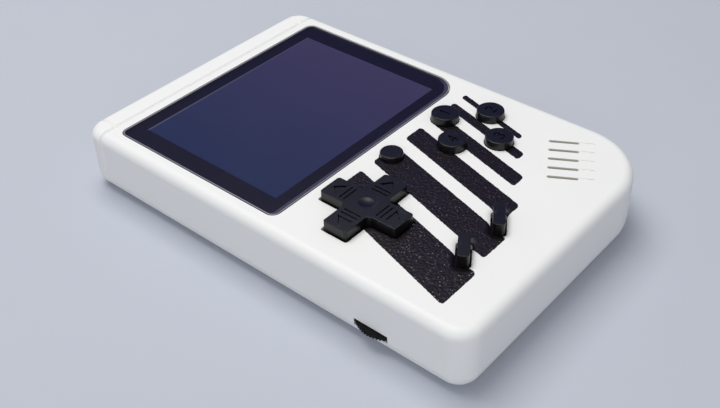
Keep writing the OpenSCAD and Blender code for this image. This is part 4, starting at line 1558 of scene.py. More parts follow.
    def cut_walls(self, shell: bpy.types.Object) -> None:
        """Cuts the openings of the wheel, the jack, the power knob and the charging port.

        Args:
            shell: Shell to cut.
        """
        carve(shell, wheel_room())
        carve(shell, jack_room())
        s, gap, out = SIDES, CASE.gap, CASE.half_w + PAST
        low = s.knob_y - s.knob_length / 2 - gap
        high = s.knob_y + s.knob_length / 2 + s.knob_travel + gap
        half = s.knob_thick / 2
        wide = half + s.recess_side
        carve(shell, Draft("knob_recess").block(
            (CASE.half_w - s.recess, low - s.recess_end, s.knob_z - wide),
            (out, high + s.recess_end, s.knob_z + wide)))
        carve(shell, Draft("knob_slot").block(
            (CASE.half_w - CASE.wall - PAST, low, s.knob_z - half - gap), (out, high, s.knob_z + half + gap)))
        x, z = s.port
        wide, tall = s.port_width / 2 + gap, s.port_height / 2 + gap
        carve(shell, Draft("port").block((x - wide, CASE.half_l - CASE.wall - PAST, z - tall),
                                         (x + wide, CASE.half_l + PAST, z + tall)))


def wheel_room() -> Draft:
    """Cutter for the thumbwheel's slot."""
    room = moved(circle(SIDES.wheel_r + CASE.gap, 96), *SIDES.wheel)
    return Draft("wheel_room").prism(room, SIDES.wheel_low - CASE.gap, SIDES.wheel_high + CASE.gap)


def jack_room() -> Draft:
    """Cutter for the nose of the jack.

    Returns:
        The cutter.
    """
    x, z = SIDES.jack
    ring = circle(SIDES.jack_nose + CASE.gap, 48)
    ends = (CASE.half_l - SIDES.jack_depth, CASE.half_l + PAST)
    return Draft("jack_room").loft([[(x + a, y, z - b) for a, b in ring] for y in ends])


@dataclass(frozen=True)
class RearShell(SubAssembly):
    """Rear half of the case with the battery bay and the screw wells.

    Attributes:
        wall: Thickness of the side walls.
        edge_steps: Chords of the rounded edge of the back.
        rim: Radius of the rim of the door's opening.
        overlap: How far joined solids overlap.
        seat: Thickness of the door's seat over the back.
        boss_r: Radius of the screw bosses.
        boss_over: How far the bosses stand over the seam.
        well_r: Radius of the screw wells.
        mouth: Radius of a well's mouth, and the heights between which it narrows.
        hole_r: Radius of the hole over a well.
        hole_top: Height of the upper end of that hole.
        hook_low: Height at which the room of the door's hooks begins.
        round_steps: Chords of the bosses and wells.
    """

    wall: float = 2.6
    edge_steps: int = 14
    rim: float = 0.2
    overlap: float = 0.02
    seat: float = 1.0
    boss_r: float = 3.4
    boss_over: float = 0.4
    well_r: float = 2.1
    mouth: tuple[float, float, float] = (2.28, -0.02, 0.19)
    hole_r: float = 1.2
    hole_top: float = 6.0
    hook_low: float = 1.0
    round_steps: int = 48

    def build(self) -> None:
        """Makes the tray and cuts it."""
        tray = self.tray()
        d, gap = DOOR, CASE.gap
        opening = flared(d.outline(gap), d.outline(gap + self.rim), -CASE.back - PAST, 0.0, self.rim)
        carve(tray, Draft("door_room").loft(self.mirrored(opening)))
        carve(tray, self.bay(), Cut.ADD, crossing=True)
        room = Draft("bay_room").block((-d.bay_half, d.bay_low, -PAST), (d.bay_half, d.bay_high, d.bay_top))
        carve(tray, room)
        carve(tray, self.hook_room())
        carve(tray, self.wells())
        carve(tray, wheel_room())
        carve(tray, jack_room())
        smooth(tray)
        self.place(tray, ROOT, Finishes.WHITE, "case_white", "rear_shell")

    def mirrored(self, rings: list[Ring]) -> list[Ring]:
        """Rings turned upside down, for a cutter that widens downwards."""
        return [[(x, y, -z) for x, y, z in ring] for ring in reversed(rings)]

    def tray(self) -> bpy.types.Object:
        """Makes the hollow tray with its rounded lower edge.

        Returns:
            The tray.
        """
        radius = CASE.back_fillet
        edge = arc((radius, radius), radius, 270, 180, self.edge_steps)
        rings = [CASE.ring(inset, z) for inset, z in edge]
        rings += [CASE.ring(0.0, CASE.seam - CASE.lip), CASE.ring(CASE.lip, CASE.seam),
                  CASE.ring(self.wall, CASE.seam), CASE.ring(self.wall, CASE.back)]
        return Draft("shell_rear").loft(rings).build()

    def bay(self) -> Draft:
        """Draws the bay's walls, the door's seat and the screw bosses.

        Returns:
            The draft, which is joined to the tray.
        """
        d = DOOR
        over = CASE.gap + d.seat_over
        seat, out = d.width / 2 + over, d.bay_half + d.bay_wall
        low, sink = d.bay_low - d.bay_wall, CASE.back - self.overlap
        parts = Draft("bay")
        parts.block((-seat, low, sink), (seat, d.high_y + over, CASE.back + self.seat))
        parts.block((-out, low, sink), (out, d.bay_high + d.bay_wall, d.bay_lid))
        for x, y in SCREWS.places:
            boss = [(self.boss_r, sink), (self.boss_r, CASE.seam + self.boss_over)]
            parts.turned(boss, x, y, self.round_steps)
        return parts

    def wells(self) -> Draft:
        """Draws the screw wells and the holes over them.

        Returns:
            The cutter.
        """
        mouth_r, mouth_low, mouth_high = self.mouth
        profile = [(mouth_r, -PAST), (mouth_r, mouth_low), (self.well_r, mouth_high),
                   (self.well_r, SCREWS.head_high), (self.hole_r, SCREWS.head_high),
                   (self.hole_r, self.hole_top)]
        wells = Draft("wells")
        for x, y in SCREWS.places:
            wells.turned(profile, x, y, self.round_steps)
        return wells

    def hook_room(self) -> Draft:
        """Draws the room of the door's hooks and tongue.

        Returns:
            The cutter.
        """
        d, gap, low, high = DOOR, CASE.gap, self.hook_low, DOOR.hook_z + CASE.gap
        room = Draft("hook_room")
        half = d.tab_width / 2 + gap
        for x in (-d.tab_x, d.tab_x):
            room.block((x - half, d.bay_low - d.bay_wall - PAST, low), (x + half, d.bay_low + PAST, high))
        half = d.tongue_half + gap
        room.block((-half, d.bay_high - PAST, low), (half, d.high_y + gap, high))
        return room


@dataclass(frozen=True)
class Screen(SubAssembly):
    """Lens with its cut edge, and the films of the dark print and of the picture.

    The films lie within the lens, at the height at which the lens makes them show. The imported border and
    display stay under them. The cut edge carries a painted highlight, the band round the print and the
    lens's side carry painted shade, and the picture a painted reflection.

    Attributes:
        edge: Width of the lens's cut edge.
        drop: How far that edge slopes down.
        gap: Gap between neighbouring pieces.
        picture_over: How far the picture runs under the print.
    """

    edge: float = 0.15
    drop: float = 0.04
    gap: float = 0.02
    picture_over: float = 0.4

    def build(self) -> None:
        """Makes the lens, its edge with a painted highlight, a band and side with painted shade, and the
        films.
        """
        s = SCREEN
        outer, inner = s.outline(s.fill), s.outline(s.fill - self.edge)
        room = s.outline(s.fill - self.edge - self.gap)
        low = s.top_z - self.drop
        lens = Draft("lens").prism(inner, s.print_z + self.gap, s.top_z).build()
        smooth(lens)
        self.place(lens, ROOT, Finishes.LENS, "lens_clear", "screen_lens")
        # Painted shade: an opaque dim band between the lens's edge and the print stands for the white under
        # the clear rim in shade.
        band = [level(outer, s.bottom_z), level(outer, s.print_z)]
        self.place(self.hoop("lens_band", band, s.print_outline(self.gap)), ROOT, Finishes.PAINTED_RIM_SHADE, "lens_clear")
        # Painted shade: the lens's side wall takes the dark print so that the gap round the lens reads as
        # shade.
        side = [level(outer, s.print_z + self.gap), level(outer, low - 2 * self.gap)]
        self.place(self.hoop("lens_side", side, room), ROOT, Finishes.BORDER, "lens_clear")
        # Painted highlight: the cut edge is a pale grey that stands for light caught by the lens's edge.
        edge = [level(outer, low - self.gap), level(outer, low), level(inner, s.top_z)]
        self.place(self.hoop("lens_edge", edge, room), ROOT, Finishes.PAINTED_EDGE_HIGHLIGHT, "lens_clear")
        film = [level(s.print_outline(0.0), z) for z in (s.print_z - s.film, s.print_z)]
        printed = self.hoop("lens_print", film, s.picture_outline(0.0))
        self.place(printed, ROOT, Finishes.BORDER, "border_dark")
        top = s.print_z - s.film - self.gap
        # The picture carries the display finish's painted reflection and painted highlight line.
        picture = Draft("lens_picture").prism(s.picture_outline(self.picture_over), top - s.film, top).build()
        smooth(picture)
        self.place(picture, ROOT, Finishes.DISPLAY, "display_dark")

    def hoop(self, name: str, rings: list[Ring], room: list[Point]) -> bpy.types.Object:
        """Makes a thin closed hoop.

        Args:
            name: Name of the piece.
            rings: Outer outlines from the bottom up.
            room: Outline of its opening.

        Returns:
            The smoothed piece.
        """
        hoop = Draft(name).loft(rings).build()
        carve(hoop, Draft("room").prism(room, SCREEN.bottom_z - PAST, SCREEN.top_z + PAST))
        smooth(hoop)
        return hoop


def strokes(name: str, lines: list[list[Point]], width: float, depth: float, top: float) -> Draft:
    """Cutter for engraved lines.

    Args:
        name: Name of the cutter.
        lines: Polylines in millimetres.
        width: Width of the lines.
        depth: Depth of the lines.
        top: Height of the surface.

    Returns:
        The cutter; its shells cross at the corners.
    """
    made = Draft(name)
    for line in lines:
        for (ax, ay), (bx, by) in zip(line, line[1:]):
            length, angle = math.hypot(bx - ax, by - ay), math.degrees(math.atan2(by - ay, bx - ax))
            bar = even(length + width, width, (width - FLAT) / 2, 4)
            bar = moved(bar, (ax + bx) / 2, (ay + by) / 2, angle)
            made.prism(bar, top - depth, top + PAST / 2)
    return made


@dataclass(frozen=True)
class DirectionPad(SubAssembly):
    """Rocking cross with engraved arrows and a dished centre.

    Attributes:
        edge: Radius of the upper edge.
        edge_steps: Chords of that edge.
        lean: How far the sides lean in.
        tip_r: Corner radius of the tips.
        least_r: Least corner radius of a tip.
        flange_thick: Thickness of the flange under the face.
        flange_tip_r: Corner radius of the flange's tips.
        flange_inner_r: Radius between the flange's arms.
        socket_r: Radius of the socket of the pivot ball.
        dimple: Radius and height over the top of the rings of the dished centre.
        mark_width: Width of the lines across an arm.
        mark_depth: Depth of those lines and of the arrow heads.
        side_width: Width of the fine lines along an arrow head.
        side_depth: Depth of the fine lines.
        tip: Distance of an arrow head's tip from the middle.
        base: Distance of its base.
        half: Half of its width.
        lines_at: Distances of the lines across an arm.
        line_half: Half of their length.
    """

    edge: float = 0.12
    edge_steps: int = 5
    lean: float = 0.02
    tip_r: float = 0.75
    least_r: float = 0.25
    flange_thick: float = 0.9
    flange_tip_r: float = 2.2
    flange_inner_r: float = 0.4
    socket_r: float = 1.98
    dimple: tuple[Point, ...] = ((0.0, -0.2), (0.6, -0.18), (1.1, -0.12), (1.5, -0.045), (1.8, -0.008),
                                 (1.95, 0.01), (2.0, 0.6))
    mark_width: float = 0.36
    mark_depth: float = 0.3
    side_width: float = 0.26
    side_depth: float = 0.6
    tip: float = 9.5
    base: float = 7.2
    half: float = 1.9
    lines_at: tuple[float, ...] = (5.95, 4.75)
    line_half: float = 2.2

    def outline(self, inset: float) -> list[Point]:
        """Outline of the cross.

        Args:
            inset: How much it is shrunk.

        Returns:
            The outline's points.
        """
        c = CONTROLS
        tip_r = max(self.tip_r - inset, self.least_r)
        span, arm = c.pad_span - 2 * inset, c.pad_arm - 2 * inset
        return moved(cross(span, arm, tip_r, c.pad_inner_r + inset), *c.pad)

    def build(self) -> None:
        """Makes the cross and cuts its marks."""
        c = CONTROLS
        top, flange_top = CASE.depth + c.pad_height, c.pivot_z + self.flange_thick
        flange = cross(c.pad_span + 2 * c.pad_flange, c.pad_arm + 2 * c.pad_flange, self.flange_tip_r,
                       self.flange_inner_r)
        rings = [level(moved(flange, *c.pad), z) for z in (c.pivot_z, flange_top)]
        rings += [level(self.outline(0.0), z) for z in (flange_top, CASE.depth)]
        for inset, z in arc((self.edge + self.lean, top - self.edge), self.edge, 180, 90, self.edge_steps):
            rings.append(level(self.outline(inset), z))
        pad = Draft("pad").loft(rings).build()
        ball = [(self.socket_r, c.pivot_z - PAST)] + arc((0, c.pivot_z), self.socket_r, 0, 90, 9)
        carve(pad, Draft("socket").turned(ball, *c.pad, steps=32))
        dish = [(radius, top + z) for radius, z in self.dimple]
        carve(pad, Draft("dimple").turned(dish, *c.pad, steps=48))
        carve(pad, self.marks(top), crossing=True)
        carve(pad, self.head_sides(top), crossing=True)
        smooth(pad, KEY_SHARP)
        self.place(pad, "body_direction_pad", Finishes.BLACK, "control_black", "direction_pad")

    def on_arms(self, line: list[Point]) -> list[list[Point]]:
        """Copies of a line that is drawn on the right arm, one on each arm."""
        return [moved(line, *CONTROLS.pad, arm.value) for arm in Arm]

    def marks(self, top: float) -> Draft:
        """Draws the sunk arrow heads and the two lines of each arm.

        Args:
            top: Height of the pad's top.

        Returns:
            The cutter.
        """
        bars = [self.on_arms([(x, -self.line_half), (x, self.line_half)]) for x in self.lines_at]
        lines = [line for pair in zip(*bars) for line in pair]
        made = strokes("marks", lines, self.mark_width, self.mark_depth, top)
        for head in self.on_arms([(self.tip, 0.0), (self.base, self.half), (self.base, -self.half)]):
            made.prism(head, top - self.mark_depth, top + PAST / 2)
        return made

    def head_sides(self, top: float) -> Draft:
        """Draws the fine lines along the two sides of each arrow head, below a top."""
        lines = self.on_arms([(self.base, self.half), (self.tip, 0.0), (self.base, -self.half)])
        return strokes("head_sides", lines, self.side_width, self.side_depth, top)


@dataclass(frozen=True)
class RoundButtons(SubAssembly):
    """Four face buttons with engraved numbers, and the plain reset button.

    Attributes:
        edge: Radius of the upper edge.
        edge_steps: Chords of that edge.
        lean: How far the sides lean in.
        steps: Chords round a button.
        mark_width: Width of the numbers' strokes.
        mark_depth: Depth of the numbers.
        keys: Node and number of each button.
        digits: Polylines of each number.
    """

    edge: float = 0.25
    edge_steps: int = 6
    lean: float = 0.1
    steps: int = 80
    mark_width: float = 0.4
    mark_depth: float = 0.4
    keys: ClassVar[dict[Arm, tuple[str, str]]] = {
        Arm.UP: ("top_button", "1"),
        Arm.RIGHT: ("right_button", "2"),
        Arm.DOWN: ("bottom_button", "3"),
        Arm.LEFT: ("left_button", "4"),
    }
    digits: ClassVar[dict[str, list[list[Point]]]] = {
        "1": [[(-0.55, 0.75), (0.1, 1.35), (0.1, -1.35)]],
        "2": [[(-0.8, 0.8), (-0.4, 1.3), (0.4, 1.3), (0.8, 0.8), (0.7, 0.2), (-0.8, -1.3), (0.85, -1.3)]],
        "3": [[(-0.8, 1.0), (-0.3, 1.35), (0.4, 1.3), (0.75, 0.75), (0.4, 0.15), (-0.1, 0.1)],
              [(0.4, 0.15), (0.85, -0.55), (0.45, -1.25), (-0.3, -1.35), (-0.85, -0.95)]],
        "4": [[(0.45, -1.35), (0.45, 1.35), (-0.9, -0.5), (0.95, -0.5)]],
    }

    def build(self) -> None:
        """Makes the buttons."""
        c = CONTROLS
        top = CASE.depth + c.button_height
        for arm, (node, digit) in self.keys.items():
            place = c.button_place(arm)
            button = self.button("key_" + node, place, c.button_r, top)
            lines = [moved(line, *place) for line in self.digits[digit]]
            carve(button, strokes("digit", lines, self.mark_width, self.mark_depth, top), crossing=True)
            smooth(button, KEY_SHARP)
            self.place(button, "body_" + node, Finishes.BLACK, "control_black", node)
        reset = self.button("key_reset", c.reset, c.reset_r, CASE.depth + c.reset_height)
        smooth(reset, KEY_SHARP)
        self.place(reset, "body_reset_button", Finishes.BLACK, "control_black", "reset_button")

    def button(self, name: str, place: Point, radius: float, top: float) -> bpy.types.Object:
        """Makes one button with flange, plunger and rounded top.

        Args:
            name: Name of the piece.
            place: Its axis.
            radius: Its radius.
            top: Height of its top.

        Returns:
            The button.
        """
        c = CONTROLS
        wide = radius + c.key_flange
        profile = [(0.0, c.plunger_low), (c.plunger_r, c.plunger_low), (c.plunger_r, c.flange_low),
                   (wide, c.flange_low), (wide, c.flange_top), (radius, c.flange_top), (radius, CASE.depth)]
        profile += arc((radius - self.lean - self.edge, top - self.edge), self.edge, 0, 90, self.edge_steps)
        profile.append((0.0, top))
        return Draft(name).turned(profile, *place, self.steps).build()


@dataclass(frozen=True)
class BarButtons(SubAssembly):
    """Two slanted bars, start and select.

    Attributes:
        edge: Radius of the upper edge.
        edge_steps: Chords of that edge.
        lean: How far the sides lean in.
        corner_steps: Chords of each corner.
        plunger_steps: Chords round the plunger.
        overlap: How far the plunger runs into the flange.
    """

    edge: float = 0.12
    edge_steps: int = 4
    lean: float = 0.02
    corner_steps: int = 6
    plunger_steps: int = 40
    overlap: float = 0.3

    def build(self) -> None:
        """Makes the bars."""
        for place, node in zip(CONTROLS.bars, ("select_bar", "start_bar")):
            bar = self.bar("key_" + node, place)
            smooth(bar, KEY_SHARP)
            self.place(bar, "body_" + node, Finishes.BLACK, "control_black", node)

    def bar(self, name: str, place: Point) -> bpy.types.Object:
        """Makes one bar with flange and plunger.

        Args:
            name: Name of the piece.
            place: Its centre.

        Returns:
            The bar.
        """
        c, wide, top = CONTROLS, CASE.gap + CONTROLS.key_flange, CASE.depth + CONTROLS.bar_height
        levels = [(wide, c.flange_low), (wide, c.flange_top), (0.0, c.flange_top),
                  (0.0, CASE.depth - c.dish_depth)]
        edge = arc((self.lean + self.edge, top - self.edge), self.edge, 180, 90, self.edge_steps)
        levels += [(-inset, z) for inset, z in edge]
        rings = [level(c.bar_outline(place, out, self.corner_steps), z) for out, z in levels]
        bar = Draft(name).loft(rings).build()
        plunger = [(c.plunger_r, c.plunger_low), (c.plunger_r, c.flange_low + self.overlap)]
        carve(bar, Draft("plunger").turned(plunger, *place, self.plunger_steps), Cut.ADD)
        return bar


def ridge_ring(material: bpy.types.Material) -> bpy.types.NodeTree:
    """Geometry nodes that add small ridges at even steps round the origin.

    Args:
        material: Finish of the ridges.

    Returns:
        The tree; its lengths are in metres.
    """
    graph, given, sink = new_tree(
        "Ring of ridges", "GeometryNodeTree",
        {"Geometry": Socket.SHAPE, "Count": Socket.WHOLE, "Radius": Socket.NUMBER, "Width": Socket.NUMBER,
         "Depth": Socket.NUMBER, "Height": Socket.NUMBER}, {"Geometry": Socket.SHAPE})
    ring = graph.terms("GeometryNodeMeshCircle", {"Vertices": given["Count"], "Radius": given["Radius"]},
                       fill_type="NONE")["Mesh"]
    sides = {"X": given["Depth"], "Y": given["Width"], "Z": given["Height"]}
    size = graph.terms("ShaderNodeCombineXYZ", sides)["Vector"]
    ridge = graph.terms("GeometryNodeMeshCube", {"Size": size})["Mesh"]
    outward = graph.terms("GeometryNodeInputPosition")["Position"]
    turn = graph.terms("FunctionNodeAlignRotationToVector", {"Vector": outward}, axis="X")["Rotation"]
    both = graph.add("GeometryNodeJoinGeometry")
    for part in (graph.copies(ring, ridge, material, Rotation=turn), given["Geometry"]):
        graph.join(part, both.inputs[0])
    graph.join(Term(graph, both.outputs[0]), sink.inputs[0])
    return graph.tree


def point_copies(material: bpy.types.Material) -> bpy.types.NodeTree:
    """Geometry nodes that replace the points of an object by copies of a piece.

    Args:
        material: Finish of the copies.

    Returns:
        The tree.
    """
    graph, given, sink = new_tree(
        "Copies on points", "GeometryNodeTree",
        {"Geometry": Socket.SHAPE, "Piece": Socket.PIECE}, {"Geometry": Socket.SHAPE})
    piece = graph.terms("GeometryNodeObjectInfo", {"Object": given["Piece"]})["Geometry"]
    graph.join(graph.copies(given["Geometry"], piece, material), sink.inputs[0])
    return graph.tree


@dataclass(frozen=True)
class VolumeWheel(SubAssembly):
    """Thumbwheel with a knurled rim.

    Attributes:
        bore_r: Radius of the bore.
        bore_steps: Chords round the bore.
        edge: Bevel of the rim.
        steps: Chords round the rim.
        ridges: Number of ridges.
        ridge: Height of a ridge over the rim.
        ridge_width: Width of a ridge.
        ridge_sink: How far a ridge runs into the rim.
        ridge_short: How much shorter a ridge is than the wheel is thick.
    """

    bore_r: float = 2.05
    bore_steps: int = 48
    edge: float = 0.15
    steps: int = 120
    ridges: int = 60
    ridge: float = 0.17
    ridge_width: float = 0.42
    ridge_sink: float = 0.1
    ridge_short: float = 0.1

    def build(self) -> None:
        """Makes the wheel at the origin, adds its ridges and moves it into place."""
        s, bore, edge = SIDES, self.bore_r, self.edge
        core, half = s.wheel_r - self.ridge, (s.wheel_high - s.wheel_low) / 2
        profile = [(bore, -half), (core - edge, -half), (core, edge - half), (core, half - edge),
                   (core - edge, half), (bore, half)]
        wheel = Draft("wheel").turned(profile, 0, 0, self.steps).build()
        axle = [(bore, -half - PAST), (bore, half + PAST)]
        carve(wheel, Draft("axle_room").turned(axle, 0, 0, self.bore_steps))
        smooth(wheel)
        dress(wheel, Finishes.WHEEL)
        grow(wheel, ridge_ring(Finishes.WHEEL.material()), {
            "Count": self.ridges, "Radius": (core + (self.ridge - self.ridge_sink) / 2) * MM,
            "Width": self.ridge_width * MM, "Depth": (self.ridge + self.ridge_sink) * MM,
            "Height": (2 * half - self.ridge_short) * MM})
        wheel.data.transform(Matrix.Translation(Vector((*s.wheel, s.wheel_low + half)) * MM))
        self.place(wheel, "body_volume_wheel", Finishes.WHEEL, "control_black", "volume_wheel")


@dataclass(frozen=True)
class PowerKnob(SubAssembly):
    """Slider of the power switch, with three grip ridges.

    Attributes:
        edge: Bevel of the stem.
        fine_edge: Bevel of the foot and the ridges.
        foot_thick: Thickness of the foot inside the wall.
        ridges: Places of the ridges along the knob.
        ridge_half: Half of a ridge's width.
        ridge_rise: Height of a ridge over the stem.
        ridge_root: Distance of a ridge's root from the tip.
        ridge_short: How far a ridge's ends lie inside the stem's sides.
    """

    edge: float = 0.12
    fine_edge: float = 0.1
    foot_thick: float = 0.9
    ridges: tuple[float, ...] = (-1.1, 0.0, 1.1)
    ridge_half: float = 0.25
    ridge_rise: float = 0.25
    ridge_root: float = 0.4
    ridge_short: float = 0.08

    def build(self) -> None:
        """Makes the slider."""
        s = SIDES
        y, z, root, tip = s.knob_y, s.knob_z, s.knob_root, s.knob_tip
        half_l, half_t = s.knob_length / 2, s.knob_thick / 2
        knob = Draft("knob")
        stem = tip - self.ridge_rise
        knob.block((root, y - half_l, z - half_t), (stem, y + half_l, z + half_t), self.edge)
        long, foot = half_l + s.knob_foot, root + self.foot_thick
        knob.block((root, y - long, z - half_t), (foot, y + long, z + half_t), self.fine_edge)
        short, low = half_t - self.ridge_short, tip - self.ridge_root
        for step in self.ridges:
            near, far = y + step - self.ridge_half, y + step + self.ridge_half
            knob.block((low, near, z - short), (tip, far, z + short), self.fine_edge)
        made = knob.build()
        smooth(made)
        self.place(made, "body_switch_slider", Finishes.BLACK, "control_black", "switch_slider")


@dataclass(frozen=True)
class BatteryDoor(SubAssembly):
    """Door of the battery bay with grip grooves, hooks and a tongue.

    Attributes:
        edge: Bevel of the lower edge.
        grips: Number of grip grooves.
        grip_first: Distance of the first groove from the door's end.
        grip_pitch: Distance from groove to groove.
        grip_length: Length of a groove.
        grip_width: Width of a groove.
        grip_depth: Depth of a groove.
        overlap: How far the hooks run into the plate.
        hook_thick: Thickness of a hook's post.
        hook_low: Height of the underside of a hook's nose.
        hook_root: How far the nose runs into the post.
        tongue: Distances of the tongue's two sides from the door's end.
    """

    edge: float = 0.15
    grips: int = 5
    grip_first: float = 5.6
    grip_pitch: float = 1.8
    grip_length: float = 12.0
    grip_width: float = 0.8
    grip_depth: float = 0.4
    overlap: float = 0.05
    hook_thick: float = 0.7
    hook_low: float = 2.25
    hook_root: float = 0.35
    tongue: Point = (1.2, 0.4)

    def build(self) -> None:
        """Makes the door."""
        d = DOOR
        levels = ((-self.edge, d.bottom_z), (0.0, d.bottom_z + self.edge), (0.0, d.top_z))
        door = Draft("door").loft([level(d.outline(out), z) for out, z in levels]).build()
        grip = even(self.grip_length, self.grip_width, self.grip_width / 2 - FLAT, 6)
        grips = Draft("grips")
        for i in range(self.grips):
            y = d.high_y - self.grip_first - self.grip_pitch * i
            grips.prism(moved(grip, 0, y), d.bottom_z - PAST, d.bottom_z + self.grip_depth)
        carve(door, grips)
        carve(door, self.hooks(), Cut.ADD, crossing=True)
        smooth(door)
        self.place(door, "body_battery_door", Finishes.WHITE, "case_white", "battery_door")

    def hooks(self) -> Draft:
        """Draws the hooks and the tongue.

        Returns:
            The draft, which is joined to the door.
        """
        d, low, half = DOOR, DOOR.top_z - self.overlap, DOOR.tab_width / 2
        hooks = Draft("hooks")
        for x in (-d.tab_x, d.tab_x):
            left, right = x - half, x + half
            near, far = d.low_y - d.hook_reach, d.low_y + self.hook_root
            hooks.block((left, d.low_y, low), (right, d.low_y + self.hook_thick, d.hook_z))
            hooks.block((left, near, self.hook_low), (right, far, d.hook_z))
        first, last = (d.high_y - away for away in self.tongue)
        return hooks.block((-d.tongue_half, first, low), (d.tongue_half, last, d.hook_z))


@dataclass(frozen=True)
class ShellScrews(SubAssembly):
    """Screws of the shells: one screw, copied to its five places by geometry nodes.

    Attributes:
        dome: Radius and height of the rings of the head's rounded end.
        steps: Chords round a screw.
        recess_half: Half of the length of the cross recess.
        recess_thin: Half of its width.
        recess_depth: Its depth.
    """

    dome: tuple[Point, ...] = ((0.0, 0.0), (1.3, 0.0), (1.7, 0.2), (SCREWS.head_r, 0.5))
    steps: int = 40
    recess_half: float = 1.1
    recess_thin: float = 0.25
    recess_depth: float = 0.6

    def build(self) -> None:
        """Makes the screw and its copies."""
        one = self.screw()
        mesh = bpy.data.meshes.new("screws")
        mesh.from_pydata([(x * MM, y * MM, 0.0) for x, y in SCREWS.places], [], [])
        screws = linked("screws", mesh)
        grow(screws, point_copies(Finishes.SCREW.material()), {"Piece": one})
        discard(one)
        self.place(screws, ROOT, Finishes.SCREW, "screw_steel", "shell_screws")

    def screw(self) -> bpy.types.Object:
        """Makes one screw on the Z axis.

        Returns:
            The screw.
        """
        s = SCREWS
        profile = [(radius, s.head_low + z) for radius, z in self.dome]
        profile += [(s.head_r, s.head_high), (s.shank_r, s.head_high), (s.shank_r, s.tip), (0.0, s.tip)]
        one = Draft("one_screw").turned(profile, 0, 0, self.steps).build()
        recess = Draft("recess")
        for x, y in ((self.recess_half, self.recess_thin), (self.recess_thin, self.recess_half)):
            recess.block((-x, -y, s.head_low - PAST), (x, y, s.head_low + self.recess_depth))
        carve(one, recess, crossing=True)
        smooth(one)
        dress(one, Finishes.SCREW)
        return one


class InnerParts(SubAssembly):
    """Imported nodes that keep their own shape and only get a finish."""

    finishes: ClassVar[dict[str, Finish]] = {
        "lens_border": Finishes.BORDER,
        # The display panel also wears the display finish with its painted reflection and highlight line.
        "display_panel": Finishes.DISPLAY,
        "backlight_plate": Finishes.IVORY,
        "display_frame": Finishes.STEEL,
        "display_foam": Finishes.FOAM,
        "display_cable": Finishes.AMBER,
        "cable_connector": Finishes.IVORY,
        "main_board": Finishes.BOARD,
        "main_chip": Finishes.MOULD,
        "memory_chip": Finishes.MOULD,
        "crystal": Finishes.STEEL,
        "capacitors": Finishes.SLEEVE,
        "pad_mat": Finishes.SILICONE,
        "button_mat": Finishes.SILICONE,
        "bar_mat": Finishes.SILICONE,
        "reset_mat": Finishes.SILICONE,
        "pivot_ball": Finishes.BLACK,
        "speaker_gasket": Finishes.FOAM,
        "speaker_frame": Finishes.STEEL,
        "speaker_cone": Finishes.PAPER,
        "speaker_magnet": Finishes.MAGNET,
        "speaker_leads": Finishes.LEAD,
        "volume_pot": Finishes.BROWN,
        "switch_body": Finishes.STEEL,
        "charge_port": Finishes.STEEL,
        "av_jack": Finishes.MOULD,
        "battery": Finishes.WRAP,
        "battery_contacts": Finishes.GOLD,
        "board_screws": Finishes.SCREW,
    }

    def build(self) -> None:
        """Dresses the nodes."""
        for name, finish in self.finishes.items():
            dress(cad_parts[name], finish)
            LOG.info("%s: packed shape, %s", name, finish.name)


# Surroundings


@dataclass(frozen=True)
class Lamp:
    """A square area light.

    Attributes:
        name: Name of the light.
        place: Where it stands, in metres.
        target: What it points at, in metres.
        size: Its side, in metres.
        power: Its power, in watts.
        colour: Its colour.
    """

    name: str
    place: tuple[float, float, float]
    target: tuple[float, float, float]
    size: float
    power: float
    colour: Colour

    def build(self) -> None:
        """Adds the light to the scene."""
        data = bpy.data.lights.new(self.name, "AREA")
        data.size = self.size
        data.energy = self.power
        data.color = self.colour
        made = linked(self.name, data)
        made.location = self.place
        made.rotation_euler = (Vector(self.target) - Vector(self.place)).to_track_quat("-Z", "Y").to_euler()


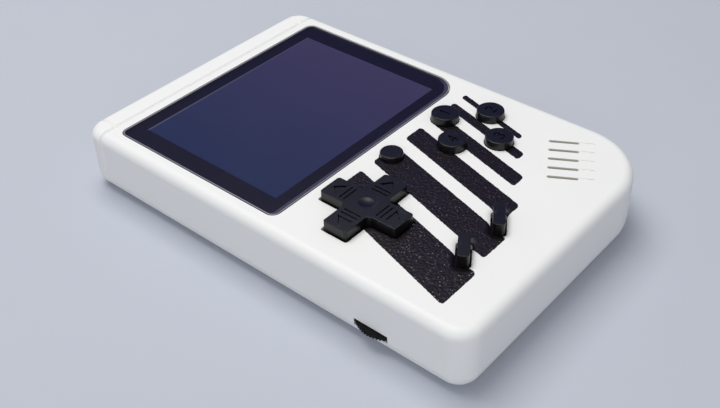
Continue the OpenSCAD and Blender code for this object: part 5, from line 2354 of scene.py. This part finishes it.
@dataclass(frozen=True)
class Studio:
    """Floor, lights and camera.

    Attributes:
        floor_half: Half of the floor's side.
        floor_thick: Thickness of the floor.
        lamps: The lights.
        strength: Strength of the surroundings.
        pale: Colour of the surroundings.
        deep: Colour that shining surfaces reflect from the far side.
        far_side: Direction of the far side.
        deep_span: Shares of that direction between which the deep colour sets in.
        camera_place: Where the camera stands.
        forward: Direction in which it looks.
        right: Direction to the right of the picture.
        lens_mm: Focal length.
        sensor_mm: Width of the sensor.
    """

    floor_half: float = 2000.0
    floor_thick: float = 20.0
    lamps: tuple[Lamp, ...] = (
        Lamp("key", (0.02, 0.22, 0.7), (0.0, 0.0, 0.0), 0.5, 4.0, (1.0, 0.985, 0.96)),
        Lamp("fill", (-0.5, -0.4, 0.35), (0.0, 0.0, 0.01), 0.5, 1.3, (0.97, 0.98, 1.0)),
    )
    strength: float = 0.33
    pale: tuple[float, ...] = (0.92, 0.95, 1.0, 1.0)
    deep: tuple[float, ...] = (0.1, 0.13, 0.75, 1.0)
    far_side: tuple[float, ...] = (0.75, 0.66, 0.0)
    deep_span: Point = (0.1, 0.5)
    camera_place: tuple[float, ...] = (-155.78, -134.24, 160.69)
    forward: tuple[float, ...] = (0.5894, 0.5145, -0.6229)
    right: tuple[float, ...] = (0.6454, -0.7636, -0.0200)
    lens_mm: float = 50.82
    sensor_mm: float = 36.0

    def build(self) -> None:
        """Sets up what surrounds the object."""
        self.floor()
        self.world()
        for lamp in self.lamps:
            lamp.build()
        self.camera()

    def floor(self) -> None:
        """Lays a pale floor under the object."""
        half = self.floor_half
        floor = Draft("floor").block((-half, -half, -self.floor_thick), (half, half, 0.0)).build()
        dress(floor, Finishes.FLOOR)

    def world(self) -> None:
        """Makes even pale surroundings; what shines reflects a deep blue from the far side."""
        world = bpy.data.worlds.new("Surroundings")
        world.use_nodes = True
        graph = Graph(world.node_tree)
        way = graph.terms("ShaderNodeTexCoord")["Generated"]
        ahead = graph.terms("ShaderNodeVectorMath", {0: way, 1: self.far_side},
                            operation="DOT_PRODUCT")["Value"]
        mirrored = graph.terms("ShaderNodeLightPath")["Is Glossy Ray"]
        colour = graph.mix(graph.ramp(ahead, self.deep_span) * mirrored, self.pale, self.deep)
        graph.feed(world.node_tree.nodes["Background"], {"Color": colour, "Strength": self.strength})
        bpy.context.scene.world = world

    def camera(self) -> None:
        """Sets up the camera at the photograph's view."""
        data = bpy.data.cameras.new("view")
        data.lens = self.lens_mm
        data.sensor_width = self.sensor_mm
        data.sensor_fit = "HORIZONTAL"
        data.dof.use_dof = False
        made = linked("view", data)
        back = -Vector(self.forward).normalized()
        right = Vector(self.right)
        right = (right - back * right.dot(back)).normalized()
        turn = Matrix((right, back.cross(right), back)).transposed().to_4x4()
        made.matrix_world = Matrix.Translation(Vector(self.camera_place) * MM) @ turn
        bpy.context.scene.camera = made


def main() -> None:
    """Builds the console in order."""
    logging.basicConfig(level=logging.INFO, format="%(name)s: %(message)s")
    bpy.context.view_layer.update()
    bpy.context.scene.view_settings.view_transform = "Standard"
    parts: list[SubAssembly] = [
        FrontShell(), RearShell(), Screen(), DirectionPad(), RoundButtons(), BarButtons(), VolumeWheel(),
        PowerKnob(), BatteryDoor(), ShellScrews(), InnerParts()]
    for part in parts:
        part.build()
    Studio().build()


if __name__ == "__main__":
    main()
